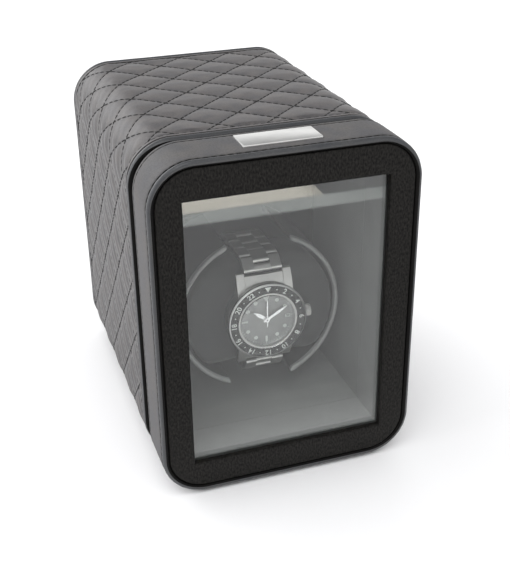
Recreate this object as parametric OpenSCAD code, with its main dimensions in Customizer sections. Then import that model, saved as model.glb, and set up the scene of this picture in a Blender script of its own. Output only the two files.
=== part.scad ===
// Single watch winder box: a quilted box with a deep glazed door, a turning
// cup with a watch cushion, and a geared drive behind the compartment.
// Millimetres. X right, Y back, Z up. Origin: middle of the footprint, on the
// surface the box stands on. Depths count back from the face of the door.

/* [Box] */
// Width of the door
box_w = 130; // [120:1:150]
// Height of the door
box_h = 173; // [165:1:195]
// Depth of the whole box, door and body
box_d = 182; // [176:1:210]
// Corner radius of the door and the body
corner_r = 22; // [16:0.5:26]
// How far each side of the body stands out past the door
body_out = 1; // [0.6:0.1:1.4]
// How far the top and the bottom of the body lie inside those of the door
body_in = 0.8; // [0:0.1:1.2]
// Height of a foot
foot_h = 1.5; // [1:0.1:4]
// Diameter of a foot
foot_dia = 14; // [8:1:24]

/* [Window and compartment] */
// Width of the panel on each side of the window
side_border = 16; // [15:0.5:18]
// Height of the panel above the window
top_border = 18.65; // [16:0.05:22]
// Height of the panel below the window
bottom_border = 17.05; // [15:0.05:20]
// Thickness of the glass
glass_t = 2.5; // [2:0.1:4]
// Depth of the glass behind the face of the door
glass_recess = 3.6; // [3:0.1:5]
// Width of the rebate that holds the glass
rebate = 2; // [1:0.1:3]

/* [Door] */
// Depth of the door
door_d = 29; // [24:0.5:34]
// Gap between the door and the body
door_gap = 5.5; // [5:0.1:7]
// Radius of the piping round the face of the door
piping_r = 1.6; // [1:0.1:2]
// Thickness of the leather round the door
skin_t = 1.2; // [0.8:0.1:1.5]
// Thickness of the leather panel on the face of the door
panel_t = 1.2; // [0.8:0.1:1.5]
// Depth of the panel behind the front of the piping
panel_recess = 0.6; // [0.2:0.1:1]

/* [Nameplate] */
// Width of the blank nameplate
plate_w = 37.5; // [20:0.5:60]
// Depth of the blank nameplate
plate_d = 16.5; // [8:0.5:19]
// Thickness of the blank nameplate
plate_t = 0.8; // [0.5:0.1:1.5]
// Distance of the nameplate from the face of the door
plate_setback = 7.3; // [5:0.1:8]

/* [Body] */
// Thickness of the quilted cover at the crown of a diamond
cover_t = 2.4; // [2:0.1:3]
// Height of the crown of a diamond above its seams
puff = 1; // [0.4:0.1:1.4]
// Half the width of a diamond, round the box
quilt_half_w = 14.5; // [10:0.1:20]
// Half the length of a diamond, along the box
quilt_half_d = 13.9; // [10:0.1:20]
// Radius of the rolled edges of the body
roll_r = 2.4; // [2:0.1:3]
// Thickness of the lining of the compartment
lining_t = 4; // [3:0.1:5]
// Depth of the drive chamber between the back panel and the rear panel
chamber_d = 70; // [68:0.5:84]
// Thickness of the back panel
back_panel_t = 4; // [3:0.5:5]
// Width of the ledge that the back panel rests on
ledge = 3; // [2:0.1:4]
// Thickness of the rear panel
rear_panel_t = 3; // [2:0.1:4]
// Depth of the rear panel inside the back edge of the box
rear_recess = 9; // [8.5:0.1:12]
// Width of the frame that the rear panel is screwed to
rear_frame = 5; // [5:0.1:6]

/* [Hinges] */
// Radius of a hinge barrel
barrel_r = 2.2; // [1.8:0.1:2.4]
// Radius of a hinge pin
hinge_pin_r = 1; // [0.7:0.1:1.2]
// Length of a hinge
hinge_len = 22; // [16:1:30]
// Distance of each hinge from the top or the bottom of the door
hinge_inset = 39.5; // [34:0.5:60]
// Thickness of a hinge leaf
leaf_t = 1; // [0.8:0.1:1.2]

/* [Rotor] */
// Height of the rotor axis above the bottom of the window
rotor_rise = 52.95; // [48:0.05:66]
// Outer radius of the cup
cup_r = 43.5; // [40:0.5:45]
// Thickness of the wall of the cup
cup_t = 2.3; // [1.8:0.1:3]
// Depth of the cup, from its rim to its floor
cup_d = 45; // [40:0.5:48]
// Width of the notches at the top and the bottom of the cup
notch_w = 34; // [24:1:36]
// Radius of the rotor shaft
shaft_r = 3; // [2.5:0.1:4]
// Running clearance of shafts and pins
running_fit = 0.04; // [0.02:0.01:0.08]

/* [Gears] */
// Module of the gears
gear_module = 1.2; // [1:0.1:1.3]
// Teeth of the drive gear
drive_teeth = 40; // [36:1:44]
// Teeth of the motor pinion
pinion_teeth = 14; // [12:1:18]
// Width of the drive gear
gear_w = 6; // [4:0.5:7]

/* [Cushion and watch] */
// Depth of the cushion
cushion_d = 38; // [34:0.5:42]
// Height of the cushion
cushion_h = 58.6; // [50:0.2:60]
// Radius of the long edges of the cushion
cushion_r = 8; // [5:0.5:12]
// Clearance between the cushion and the cup
cushion_fit = 0.4; // [0.3:0.1:0.8]
// Radius of the bezel of the watch
bezel_r = 20.8; // [18:0.1:21]
// Width of the bracelet
bracelet_w = 20; // [18:0.5:22]
// Thickness of the bracelet
bracelet_t = 2.8; // [2:0.1:3]
// Width of the middle row of links
middle_link_w = 8.4; // [6:0.1:9]
// Pitch of the bracelet links
link_pitch = 9; // [6:0.1:10]

/* [Hidden] */
$fn = 64;
// How far a cutting tool reaches past the face that it cuts
cut = 1;
// Clearance between pieces that are set in each other
slack = 0.1;

// Sizes that follow the door
body_w = box_w + 2 * body_out;
body_h = box_h - 2 * body_in;
window_w = box_w - 2 * side_border;
window_h = box_h - top_border - bottom_border;

// Places along the depth of the box
front = -box_d / 2;
glass_back = glass_recess + glass_t;
body_front = door_d + door_gap;
cover_front = body_front + 2 * roll_r;
cover_back = box_d - 2 * roll_r;
rear_face_y = box_d - rear_recess;
rear_panel_y = rear_face_y - rear_panel_t;
ledge_y = rear_panel_y - chamber_d;
back_panel_y = ledge_y - back_panel_t;

// Heights
mid_z = foot_h + box_h / 2;
window_bottom = foot_h + bottom_border;
window_z = window_bottom + window_h / 2;
rotor_z = window_bottom + rotor_rise;

// Sections of the door
face_w = box_w - 4 * piping_r;
face_h = box_h - 4 * piping_r;
face_r = corner_r - 2 * piping_r;

// Sections of the body
roll_inset = 0.2;
roll_w = body_w - 2 * roll_inset;
roll_h = body_h - 2 * roll_inset;
neck_w = roll_w - 4 * roll_r;
neck_h = roll_h - 4 * roll_r;
neck_r = corner_r - roll_inset - 2 * roll_r;
shell_w = body_w - 2 * cover_t;
shell_h = body_h - 2 * cover_t;
shell_r = corner_r - cover_t;
shell_bottom = mid_z - shell_h / 2;
lined_w = window_w + 2 * lining_t;
lined_h = window_h + 2 * lining_t;
chamber_w = lined_w - 2 * ledge;
chamber_h = lined_h - 2 * ledge;
recess_w = chamber_w + 2 * rear_frame;
recess_h = chamber_h + 2 * rear_frame;
recess_r = 4;
rear_screw_len = 8;
rear_screw_inset = 3.1;
rear_screw_places = [for (x = [-1, 1], z = [-1, 0, 1])
    [x * (recess_w / 2 - rear_screw_inset), window_z + z * (recess_h / 2 - rear_screw_inset)]];
felt_t = 1.4;
foot_inset = 3.5;
foot_edge = 1;
seal_w = 4;
seal_gap = 0.3;

// Quilting: lengths round half of the body, from the middle of the top
quilt_flat = body_w / 2 - corner_r;
quilt_side = body_h - 2 * corner_r;
quilt_bend = PI * corner_r / 2;
quilt_end = quilt_flat + 2 * quilt_bend + quilt_side;
// Where two seams cross, round the box and along its depth
quilt_shift = -4;
quilt_row = 62.3;
// The polygon of the bends stays clear of the shell by this much
cover_gap = 0.5;

// Catch: two magnets in the body and two steel discs in the door
catch_x = -(neck_w + lined_w) / 4;
catch_r = 3;
catch_gap = 0.4;
magnet_proud = (door_gap - catch_gap) / 2;
magnet_depth = 4;
strike_depth = 1.5;

// Hinges
hinge_offset = box_h / 2 - hinge_inset;
barrel_x = body_w / 2 - barrel_r;
barrel_y = door_d + door_gap / 2;
leaf_margin = 1;
leaf_w = barrel_x - lined_w / 2 - leaf_margin;
knuckle_len = hinge_len * 0.45;
knuckle_gap = 0.1;
barrel_relief = 0.25;
hinge_head_r = 1.5;
hinge_head_t = 0.5;
leaf_screw_r = 0.9;
leaf_screw_head_r = 1.7;
leaf_screw_len = 8;
leaf_screw_x = -catch_x;
leaf_screw_offset = hinge_len * 0.32;

// Rotor
cup_base_t = 3;
hub_gap = 1;
hub_len = 2;
hub_r = 12;
hub_y = back_panel_y - hub_gap;
cup_base_y = hub_y - hub_len;
cup_floor_y = cup_base_y - cup_base_t;
rim_y = cup_floor_y - cup_d;
rim_t = cup_t + 0.2;
cup_fillet = 3;
rib_t = 2;
rib_count = 6;
rib_gap = 0.5;
shaft_front_y = cup_floor_y + 0.5;

// Drive
plate_steel_t = 2.5;
gear_plate_size = 84;
gear_plate_back = ledge_y + plate_steel_t;
bush_r = 5;
bush_flange_r = 7.5;
bush_flange_t = 1.5;
gear_float = 0.5;
gear_y = gear_plate_back + bush_flange_t + gear_float;
gear_hub_r = 8;
gear_hub_len = 4;
gear_hub_y = gear_y + gear_w + gear_hub_len;
gear_web_t = 2;
gear_rim_t = 3.84;
gear_holes = 6;
gear_hole_r = 3.9;
bridge_gap = 3;
bridge_y = gear_hub_y + bridge_gap;
plate_corner_r = 5;
bridge_margin = 6;
bridge_back = bridge_y + plate_steel_t;
pillar_offset = 30;
pillar_r = 3;
pillar_thread = 6;
pillar_places = [for (x = [-1, 1], z = [-1, 1]) [x * pillar_offset, rotor_z + z * pillar_offset]];
plate_screw_offset = 37;
plate_screw_len = 5;
plate_screw_places = [for (x = [-1, 1], z = [-1, 1])
    [x * plate_screw_offset, rotor_z + z * plate_screw_offset]];
screw_r = 1.3;
screw_head_r = 2.6;
screw_head_t = 1.6;
rear_bush_back = bridge_back + bush_flange_t;
clip_float = 0.3;
clip_y = rear_bush_back + clip_float;
clip_t = 0.8;
clip_r = 5;
clip_depth = 0.6;
shaft_tail = 1.5;
shaft_end_y = clip_y + clip_t + shaft_tail;
drive_r = gear_module * drive_teeth / 2;
pinion_r = gear_module * pinion_teeth / 2;
gear_backlash = 0.2;
pressure = 20;
addendum = 0.95;
dedendum = 1.2;
gear_spread = 0.1;
gear_distance = drive_r + pinion_r + gear_spread;
motor_z = rotor_z + gear_distance;
motor_shaft_r = 2;
pinion_hub_r = 3.5;
pinion_gap = 1;
gearbox_r = 15;
gearbox_len = 20;
gearbox_back = bridge_back + gearbox_len;
can_r = 12.2;
can_len = 20;
can_back = gearbox_back + can_len;
can_boss_r = 4;
can_boss_len = 1.5;
motor_boss_r = 4.5;
motor_boss_len = 3;
motor_screw_offset = 11;
motor_thread = 4;
motor_socket = 12;
motor_shaft_len = 10;
lead_r = 1.3;
lead_bend = 4;
connector_t = 5;

// Board and controls on the rear panel
control_rise = 28;
control_z = window_z - chamber_h / 2 + control_rise;
board_w = 84;
board_h = 54;
board_t = 1.6;
board_pillar_len = 9.9;
board_back = rear_panel_y - board_pillar_len;
board_y = board_back - board_t;
board_rise = 8;
board_z = control_z + board_rise;
board_inset = 5;
board_pillar_r = 2.6;
board_screw_r = 0.9;
board_screw_len = 7;
board_places = [for (x = [-1, 1], z = [-1, 1])
    [x * (board_w / 2 - board_inset), board_z + z * (board_h / 2 - board_inset)]];
board_corner_r = 2;
connector_inset = 8;
connector_size = [9, 6];
connector_z = board_z + board_h / 2 - connector_inset;
chip_size = [12, 2, 12];
chip_at = [-22, -4];
// The two cans on the board: radius, height, and place across and above its middle
cans = [[3.2, 9, 14, 4], [2.5, 6, 22, -12]];
board_screw_head_t = 1.4;
board_screw_head_r = 2;
inlet_x = -28;
rocker_x = -8;
slider_x = 9;
selector_x = 28;
flange_t = 1.5;
inlet_r = 5;
inlet_flange_r = 6.5;
inlet_hole_r = 2.8;
inlet_pin_r = 1;
inlet_base_t = 3;
inlet_pin_inset = 1;
rocker_w = 9;
rocker_h = 15;
rocker_gap = 0.2;
rocker_wall = 1.5;
rocker_axle_r = 1;
rocker_axle_out = 0.9;
rocker_axle_room = 1;
rocker_tilt = 8;
rocker_sink = 1.5;
rocker_floor = 8;
rocker_axis_y = rear_face_y - rocker_sink;
rocker_floor_y = rear_face_y - rocker_floor;
rocker_flange = 1.5;
rocker_dip = 1.6;
rocker_crest = 4;
rocker_shoulder = 1;
selector_shaft_r = 3;
selector_neck_r = 4.5;
selector_size = 13;
selector_len = 7;
selector_base_t = 2;
knob_r = 8;
knob_h = 7;
knob_gap = 0.6;
knob_edge = 1;
knob_flutes = 16;
knob_flute_r = 0.8;
knob_line = [1.2, 0.8];
slider_travel = 2.5;
slider_stem = 3;
slider_gap = 0.3;
slider_slot = slider_stem + 2 * slider_travel + 2 * slider_gap;
slider_wall = 2;
slider_depth = 4.5;
slider_cap = 6;
slider_cap_t = 2.8;
slider_cap_gap = 0.4;
slider_cap_r = 1;
slider_groove = 0.6;

// Cushion and watch
cushion_proud = 2.7;
cushion_y = rim_y - cushion_proud;
cushion_mid_y = cushion_y + cushion_d / 2;
cup_bore_r = cup_r - cup_t;
watch_rise = 1.1;
watch_z = rotor_z + watch_rise;
caseback_t = 1.1;
case_t = 7.2;
case_back = cushion_y - caseback_t;
case_front = case_back - case_t;
case_r = bezel_r - 0.8;
caseback_r = bezel_r - 4;
rehaut_r = bezel_r - 5.1;
rehaut_h = 1.2;
bezel_h = 1.4;
bezel_edge = 1;
bezel_gap = 0.05;
crystal_r = bezel_r - 6.3;
crystal_proud = 1.7;
crystal_t = 1;
crystal_front = case_front - crystal_proud;
dial_sink = 2;
dial_y = case_front + dial_sink;
dial_t = 0.6;
dial_r = crystal_r - slack;
dial_ring = dial_r - 3;
mark_t = 0.2;
mark_w = 1;
mark_len = 3.2;
mark_r = 0.9;
date_size = [3.2, 2.4];
hand_t = 0.3;
// Each hand: how far its tip stays inside the dial, its width, its tail and its angle from 12
hour_hand_form = [6, 2, 1.6, 305];
minute_hand_form = [2, 1.6, 2, 60];
second_hand_form = [1.6, 0.6, 4, 0];
hand_pitch = 0.6;
hand_fit = 0.04;
hand_boss = 0.8;
hour_post_r = 0.9;
minute_post_r = 0.6;
second_post_r = 0.4;
post_end = 0.2;
hour_y = dial_y - hand_pitch - slack;
minute_y = hour_y - hand_pitch;
second_y = minute_y - hand_pitch;
crown_r = 3.1;
crown_len = 3.4;
crown_gap = 0.7;
crown_flutes = 18;
crown_flute_r = 0.4;
crown_stem_r = 0.7;
crown_stem_len = 3.6;
crown_guard_r = 2;
crown_y = (case_front + case_back) / 2;
lug_gap = 0.15;
lug_reach = 25;
lug_root = 10;
lug_tip_w = 4.3;
lug_lift = 0.4;
// The fronts of the lugs and of the end links bend back as one round bar across the watch
lug_bend_r = 56;
lug_drop = 0.8;
lug_bend_y = case_front + lug_drop + sqrt(pow(lug_bend_r, 2) - pow(lug_root, 2));
end_link_reach = 23.5;
end_link_root = 14;
end_link_step = 0.25;
strap_gap = 0.9;
loop_w = cushion_d + 2 * strap_gap + bracelet_t;
loop_h = cushion_h + 2 * strap_gap + bracelet_t;
loop_r = cushion_r + strap_gap + bracelet_t / 2;
// The closed loop of the bracelet round the cushion: its flats, a bend and the whole
loop_flat_h = loop_h - 2 * loop_r;
loop_flat_w = loop_w - 2 * loop_r;
loop_bend = PI * loop_r / 2;
loop_len = 2 * (loop_flat_h + loop_flat_w) + 4 * loop_bend;
link_gap = 0.3;
link_side_gap = 0.05;

// Colours
leather = [0.42, 0.40, 0.41];
panel_black = [0.13, 0.12, 0.12];
lining_grey = [0.45, 0.47, 0.46];
board_brown = [0.62, 0.50, 0.36];
black = [0.08, 0.08, 0.09];
steel = [0.72, 0.73, 0.75];
silver = [0.86, 0.86, 0.87];
brass = [0.78, 0.64, 0.33];
cup_grey = [0.25, 0.27, 0.28];
rim_grey = [0.66, 0.67, 0.66];
green = [0.10, 0.36, 0.20];
lead_red = [0.6, 0.1, 0.1];
white = [0.92, 0.92, 0.90];

// ---------------------------------------------------------------- shapes

// A rectangle with round corners, about its middle
module rounded(w, h, r) {
    square([w - 2 * r, h], center = true);
    square([w, h - 2 * r], center = true);
    for (x = [-1, 1], y = [-1, 1])
        translate([x * (w / 2 - r), y * (h / 2 - r)]) circle(r);
}

// An outline in X and Z, drawn out along the depth
module slab(from, to, z = mid_z, x = 0) {
    translate([x, front + to, z]) rotate([90, 0, 0]) linear_extrude(to - from) children();
}

// A round bar along the depth
module rod(from, to, r, z = mid_z, x = 0) {
    translate([x, front + to, z]) rotate([90, 0, 0]) cylinder(h = to - from, r = r);
}

// A profile of radius and depth, turned about an axis along the depth
module turned(z = rotor_z, x = 0) {
    translate([x, front, z]) rotate([-90, 0, 0]) rotate_extrude() children();
}

// An outline in depth and Z, drawn out across the box
module across(from, to) {
    translate([from, front, 0]) rotate([90, 0, 90]) linear_extrude(to - from) children();
}

// A round bar bent into a loop that measures w by h outside
module loop_bar(w, h, r, bar_r, y) {
    flat_w = w - 2 * r;
    flat_h = h - 2 * r;
    bend_r = r - bar_r;
    translate([0, front + y, mid_z]) {
        for (side = [-1, 1]) {
            translate([side * (w / 2 - bar_r), 0, -flat_h / 2]) cylinder(h = flat_h, r = bar_r);
            translate([-flat_w / 2, 0, side * (h / 2 - bar_r)]) rotate([0, 90, 0])
                cylinder(h = flat_w, r = bar_r);
        }
        for (turn = [0 : 3])
            translate([(turn == 0 || turn == 3 ? 1 : -1) * flat_w / 2, 0,
                (turn < 2 ? 1 : -1) * flat_h / 2])
                rotate([90, 0, 0]) rotate([0, 0, 90 * turn])
                    rotate_extrude(angle = 90) translate([bend_r, 0]) circle(bar_r);
    }
}

// A screw along the depth, head at the back or at the front
module screw(head_y, len, z, x, toward = -1, r = screw_r, head_r = screw_head_r) {
    rod(min(head_y, head_y + toward * len), max(head_y, head_y + toward * len), r, z, x);
    rod(min(head_y, head_y - toward * screw_head_t), max(head_y, head_y - toward * screw_head_t),
        head_r, z, x);
}

// ------------------------------------------------------------------ door

module window_cut(w, h, from, to) {
    slab(from, to, window_z) square([w, h], center = true);
}

module door_frame() {
    color(board_brown) difference() {
        union() {
            slab(2 * piping_r, door_d)
                rounded(box_w - 2 * skin_t, box_h - 2 * skin_t, corner_r - skin_t);
            slab(panel_recess + panel_t, 2 * piping_r) rounded(face_w, face_h, face_r);
        }
        window_cut(window_w + 2 * panel_t, window_h + 2 * panel_t, -cut, glass_recess);
        window_cut(window_w + 2 * rebate, window_h + 2 * rebate, glass_recess, door_d + cut);
        for (side = [-1, 1]) {
            rod(door_d - strike_depth, door_d + cut, catch_r, mid_z + side * hinge_offset, catch_x);
            for (hinge = [-1, 1])
                rod(door_d - leaf_screw_len, door_d + cut, leaf_screw_r,
                    mid_z + side * hinge_offset + hinge * leaf_screw_offset, leaf_screw_x);
        }
    }
}

module door_leather() {
    color(leather) difference() {
        slab(2 * piping_r, door_d) rounded(box_w, box_h, corner_r);
        slab(0, door_d + cut) rounded(box_w - 2 * skin_t, box_h - 2 * skin_t, corner_r - skin_t);
    }
}

module door_piping() {
    color(leather) loop_bar(box_w, box_h, corner_r, piping_r, piping_r);
}

// Its edge turns into the window, as far as the glass
module front_panel() {
    color(panel_black) difference() {
        union() {
            slab(panel_recess, panel_recess + panel_t) rounded(face_w, face_h, face_r);
            window_cut(window_w + 2 * panel_t, window_h + 2 * panel_t, panel_recess, glass_recess);
        }
        window_cut(window_w, window_h, -cut, glass_recess + cut);
    }
}

module glass_pane() {
    color([0.75, 0.82, 0.82, 0.35]) slab(glass_recess, glass_back, window_z)
        square([window_w + 2 * rebate - 2 * slack, window_h + 2 * rebate - 2 * slack], center = true);
}

module door_lining() {
    color(lining_grey) difference() {
        window_cut(window_w + 2 * rebate, window_h + 2 * rebate, glass_back, door_d);
        window_cut(window_w, window_h, glass_back - cut, door_d + cut);
    }
}

module nameplate() {
    bevel = plate_t / 4;
    color(silver) translate([0, front + plate_setback + plate_d / 2, foot_h + box_h]) {
        linear_extrude(plate_t - bevel) rounded(plate_w, plate_d, 2 * bevel);
        translate([0, 0, plate_t - bevel]) linear_extrude(bevel)
            rounded(plate_w - 2 * bevel, plate_d - 2 * bevel, bevel);
    }
}

module strike_plates() {
    color(steel) for (side = [-1, 1])
        rod(door_d - strike_depth, door_d + magnet_proud, catch_r, mid_z + side * hinge_offset, catch_x);
}

// ---------------------------------------------------------------- hinges

// The knuckles of one leaf: the two outer ones or the middle one
module knuckles(outer, r, grow = 0) {
    half = knuckle_len / 2;
    if (outer)
        for (side = [-1, 1])
            translate([0, 0, side > 0 ? half + knuckle_gap / 2 - grow : -hinge_len / 2 - grow])
                cylinder(h = hinge_len / 2 - half - knuckle_gap / 2 + 2 * grow, r = r);
    else
        translate([0, 0, -half + knuckle_gap / 2 - grow])
            cylinder(h = knuckle_len - knuckle_gap + 2 * grow, r = r);
}

module leaf(outer, plate_y, bore_r, z) {
    color(steel) translate([barrel_x, front + barrel_y, z]) difference() {
        union() {
            difference() {
                translate([-leaf_w, plate_y - barrel_y, -hinge_len / 2])
                    cube([leaf_w, leaf_t, hinge_len]);
                knuckles(!outer, barrel_r + barrel_relief, 2 * knuckle_gap);
                for (side = [-1, 1])
                    translate([leaf_screw_x - barrel_x, plate_y - barrel_y + leaf_t + cut,
                        side * leaf_screw_offset])
                        rotate([90, 0, 0]) cylinder(h = leaf_t + 2 * cut, r = leaf_screw_r);
            }
            knuckles(outer, barrel_r);
        }
        translate([0, 0, -hinge_len]) cylinder(h = 2 * hinge_len, r = bore_r);
    }
}

module door_leaf(z) {
    leaf(true, door_d, hinge_pin_r + running_fit, z);
}

module body_leaf(z) {
    leaf(false, body_front - leaf_t, hinge_pin_r, z);
}

module hinge_pins() {
    color(steel) for (side = [-1, 1])
        translate([barrel_x, front + barrel_y, mid_z + side * hinge_offset]) {
            cylinder(h = hinge_len + 2 * knuckle_gap, r = hinge_pin_r, center = true);
            for (end = [-1, 1])
                translate([0, 0, end * (hinge_len / 2 + knuckle_gap + hinge_head_t / 2)])
                    cylinder(h = hinge_head_t, r = hinge_head_r, center = true);
        }
}

// Pan screws through the leaves: into the door forwards, into the body backwards
module leaf_screws(plate_y, toward) {
    color(steel) for (side = [-1, 1], hinge = [-1, 1]) {
        z = mid_z + side * hinge_offset + hinge * leaf_screw_offset;
        tip = plate_y + toward * (leaf_screw_len - leaf_t - cut);
        rod(min(plate_y, tip), max(plate_y, tip), leaf_screw_r, z, leaf_screw_x);
        rod(min(plate_y, plate_y - toward * leaf_t / 2), max(plate_y, plate_y - toward * leaf_t / 2),
            leaf_screw_head_r, z, leaf_screw_x);
    }
}

module door_hinge_screws() {
    leaf_screws(door_d + leaf_t, -1);
}

module body_hinge_screws() {
    leaf_screws(body_front - leaf_t, 1);
}

// ------------------------------------------------------------------ body

module body_shell() {
    color(board_brown) difference() {
        union() {
            slab(body_front, box_d) rounded(neck_w, neck_h, neck_r);
            slab(cover_front, cover_back) rounded(shell_w, shell_h, shell_r);
        }
        window_cut(lined_w, lined_h, body_front - cut, ledge_y);
        window_cut(chamber_w, chamber_h, ledge_y - cut, box_d);
        slab(rear_panel_y, box_d + cut, window_z) rounded(recess_w, recess_h, recess_r);
        for (side = [-1, 1]) {
            rod(body_front - cut, body_front + magnet_depth, catch_r,
                mid_z + side * hinge_offset, catch_x);
            for (hinge = [-1, 1])
                rod(body_front - cut, body_front + leaf_screw_len, leaf_screw_r,
                    mid_z + side * hinge_offset + hinge * leaf_screw_offset, leaf_screw_x);
        }
        for (place = rear_screw_places)
            rod(rear_panel_y - rear_screw_len, rear_panel_y + cut, screw_r, place[1], place[0]);
    }
}

// Direction out of the cover at a length s round the box, as an angle from up
function lean(s) = s < quilt_flat ? 0
    : s < quilt_flat + quilt_bend ? (s - quilt_flat) / quilt_bend * 90
    : s < quilt_flat + quilt_bend + quilt_side ? 90
    : 90 + (s - quilt_flat - quilt_bend - quilt_side) / quilt_bend * 90;
// Middle of the bend, or the point under the crown, that the surface is built out from
function anchor_x(s) = min(s, quilt_flat);
function anchor_z(s) = s < quilt_flat + quilt_bend ? quilt_side / 2
    : max(quilt_side / 2 - (s - quilt_flat - quilt_bend), -quilt_side / 2);
// A point at a length s (negative on the left), a depth y and a distance from the bend's middle
function cover_point(s, y, out) =
    let (a = abs(s), side = s < 0 ? -1 : 1)
    [side * (anchor_x(a) + out * sin(lean(a))), front + y, mid_z + anchor_z(a) + out * cos(lean(a))];
// Height of the padding: none on the seams, full in the middle of a diamond
function swell(s, y) =
    let (a = (s - quilt_shift) / quilt_half_w, b = (y - quilt_row) / quilt_half_d)
    sqrt(abs(sin(90 * (a + b)) * sin(90 * (a - b))));
// Lengths and depths of the points: every half step of the quilting, and the two ends
function marks(from, to, start, step) = [
    from,
    for (k = [ceil((from - start) / step + 0.2) : floor((to - start) / step - 0.2)]) start + k * step,
    to
];

// A padded skin sewn in diamonds, open along the bottom of the box
module quilted_cover() {
    columns = marks(-quilt_end, quilt_end, quilt_shift, quilt_half_w / 2);
    rows = marks(cover_front, cover_back, quilt_row, quilt_half_d / 2);
    n = len(columns);
    m = len(rows);
    inner = corner_r - cover_t + cover_gap;
    seam = corner_r - puff;
    outer_points = [for (y = rows, s = columns) cover_point(s, y,
        y == rows[0] || y == rows[m - 1] ? seam : seam + puff * swell(s, y))];
    inner_points = [for (y = [rows[0], rows[m - 1]], s = columns) cover_point(s, y, inner)];
    base = n * m;
    // The seam runs from corner to corner of a cell, one way or the other
    outer_faces = [for (j = [0 : m - 2], i = [0 : n - 2])
        let (p = j * n + i, q = p + 1, r = p + n, t = r + 1,
            mid_s = (columns[i] + columns[i + 1]) / 2, mid_y = (rows[j] + rows[j + 1]) / 2,
            a = (mid_s - quilt_shift) / quilt_half_w, b = (mid_y - quilt_row) / quilt_half_d,
            falling = abs(sin(90 * (a + b))) < abs(sin(90 * (a - b))))
        each falling ? [[p, q, r], [q, t, r]] : [[p, q, t], [p, t, r]]];
    inner_faces = [for (i = [0 : n - 2]) [base + i, base + n + i, base + n + i + 1, base + i + 1]];
    front_faces = [for (i = [0 : n - 2]) [i, base + i, base + i + 1, i + 1]];
    back_faces = [for (i = [0 : n - 2]) let (p = (m - 1) * n + i)
        [p, p + 1, base + n + i + 1, base + n + i]];
    left_face = [for (j = [0 : m - 1]) j * n];
    right_face = [for (j = [0 : m - 1]) j * n + n - 1];
    color(leather) polyhedron(concat(outer_points, inner_points), concat(
        outer_faces, inner_faces, front_faces, back_faces,
        [concat(left_face, [base + n, base])],
        [concat([base + n - 1, base + 2 * n - 1], [for (j = [m - 1 : -1 : 0]) right_face[j]])]),
        convexity = 6);
}

module base_felt() {
    color(black) translate([-quilt_flat + slack, front + cover_front, shell_bottom - felt_t])
        cube([2 * quilt_flat - 2 * slack, cover_back - cover_front, felt_t]);
}

module feet() {
    foot_t = shell_bottom - felt_t;
    foot_x = quilt_flat - foot_dia / 2 - foot_inset;
    inset = foot_dia / 2 + foot_inset;
    color(black) for (side = [-1, 1], y = [cover_front + inset, cover_back - inset])
        translate([side * foot_x, front + y, 0]) rotate_extrude() {
            square([foot_dia / 2 - foot_edge, foot_t]);
            translate([0, foot_edge]) square([foot_dia / 2, foot_t - foot_edge]);
            translate([foot_dia / 2 - foot_edge, foot_edge]) circle(foot_edge);
        }
}

module front_roll() {
    color(leather) loop_bar(roll_w, roll_h, corner_r - roll_inset, roll_r, body_front + roll_r);
}

module rear_roll() {
    color(leather) loop_bar(roll_w, roll_h, corner_r - roll_inset, roll_r, box_d - roll_r);
}

// A soft strip between the door and the mouth of the body
module door_seal() {
    color(lining_grey) difference() {
        window_cut(window_w + 2 * seal_w, window_h + 2 * seal_w, door_d + seal_gap, body_front);
        window_cut(window_w, window_h, door_d, body_front + cut);
    }
}

module catch_magnets() {
    color(silver) for (side = [-1, 1])
        rod(body_front - magnet_proud, body_front + magnet_depth, catch_r,
            mid_z + side * hinge_offset, catch_x);
}

module compartment_lining() {
    color(lining_grey) difference() {
        window_cut(lined_w, lined_h, body_front, back_panel_y);
        window_cut(window_w, window_h, body_front - cut, back_panel_y + cut);
    }
}

module back_panel() {
    color(lining_grey) difference() {
        window_cut(lined_w - 2 * slack, lined_h - 2 * slack, back_panel_y, ledge_y);
        rod(back_panel_y - cut, ledge_y + cut, bush_r + slack, rotor_z);
        for (place = plate_screw_places)
            rod(back_panel_y + cut, ledge_y + cut, screw_r, place[1], place[0]);
    }
}

module rear_panel() {
    color(black) difference() {
        union() {
            slab(rear_panel_y, rear_face_y, window_z)
                rounded(recess_w - 2 * slack, recess_h - 2 * slack, recess_r - slack);
            for (place = board_places)
                rod(board_back, rear_panel_y, board_pillar_r, place[1], place[0]);
        }
        for (place = rear_screw_places)
            rod(rear_panel_y - cut, rear_face_y + cut, screw_r, place[1], place[0]);
        for (place = board_places)
            rod(board_back - cut, rear_panel_y, board_screw_r, place[1], place[0]);
        rod(rear_panel_y - cut, rear_face_y + cut, inlet_r + slack, control_z, inlet_x);
        slab(rear_panel_y - cut, rear_face_y + cut, control_z, rocker_x)
            square([rocker_w + 2 * rocker_wall + 2 * slack, rocker_h + 2 * rocker_wall + 2 * slack],
                center = true);
        rod(rear_panel_y - cut, rear_face_y + cut, selector_neck_r + slack, control_z, selector_x);
        slab(rear_panel_y - cut, rear_face_y + cut, control_z, slider_x)
            square([slider_slot, slider_stem + 2 * slider_gap], center = true);
    }
}

module rear_screws() {
    color(steel) for (place = rear_screw_places)
        screw(rear_face_y, rear_screw_len, place[1], place[0]);
}

// ----------------------------------------------------------------- drive

module gear_plate() {
    color(steel) difference() {
        slab(ledge_y, gear_plate_back, rotor_z)
            rounded(gear_plate_size, gear_plate_size, plate_corner_r);
        rod(ledge_y - cut, gear_plate_back + cut, bush_r, rotor_z);
        for (place = concat(plate_screw_places, pillar_places))
            rod(ledge_y - cut, gear_plate_back + cut, screw_r, place[1], place[0]);
    }
}

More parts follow.
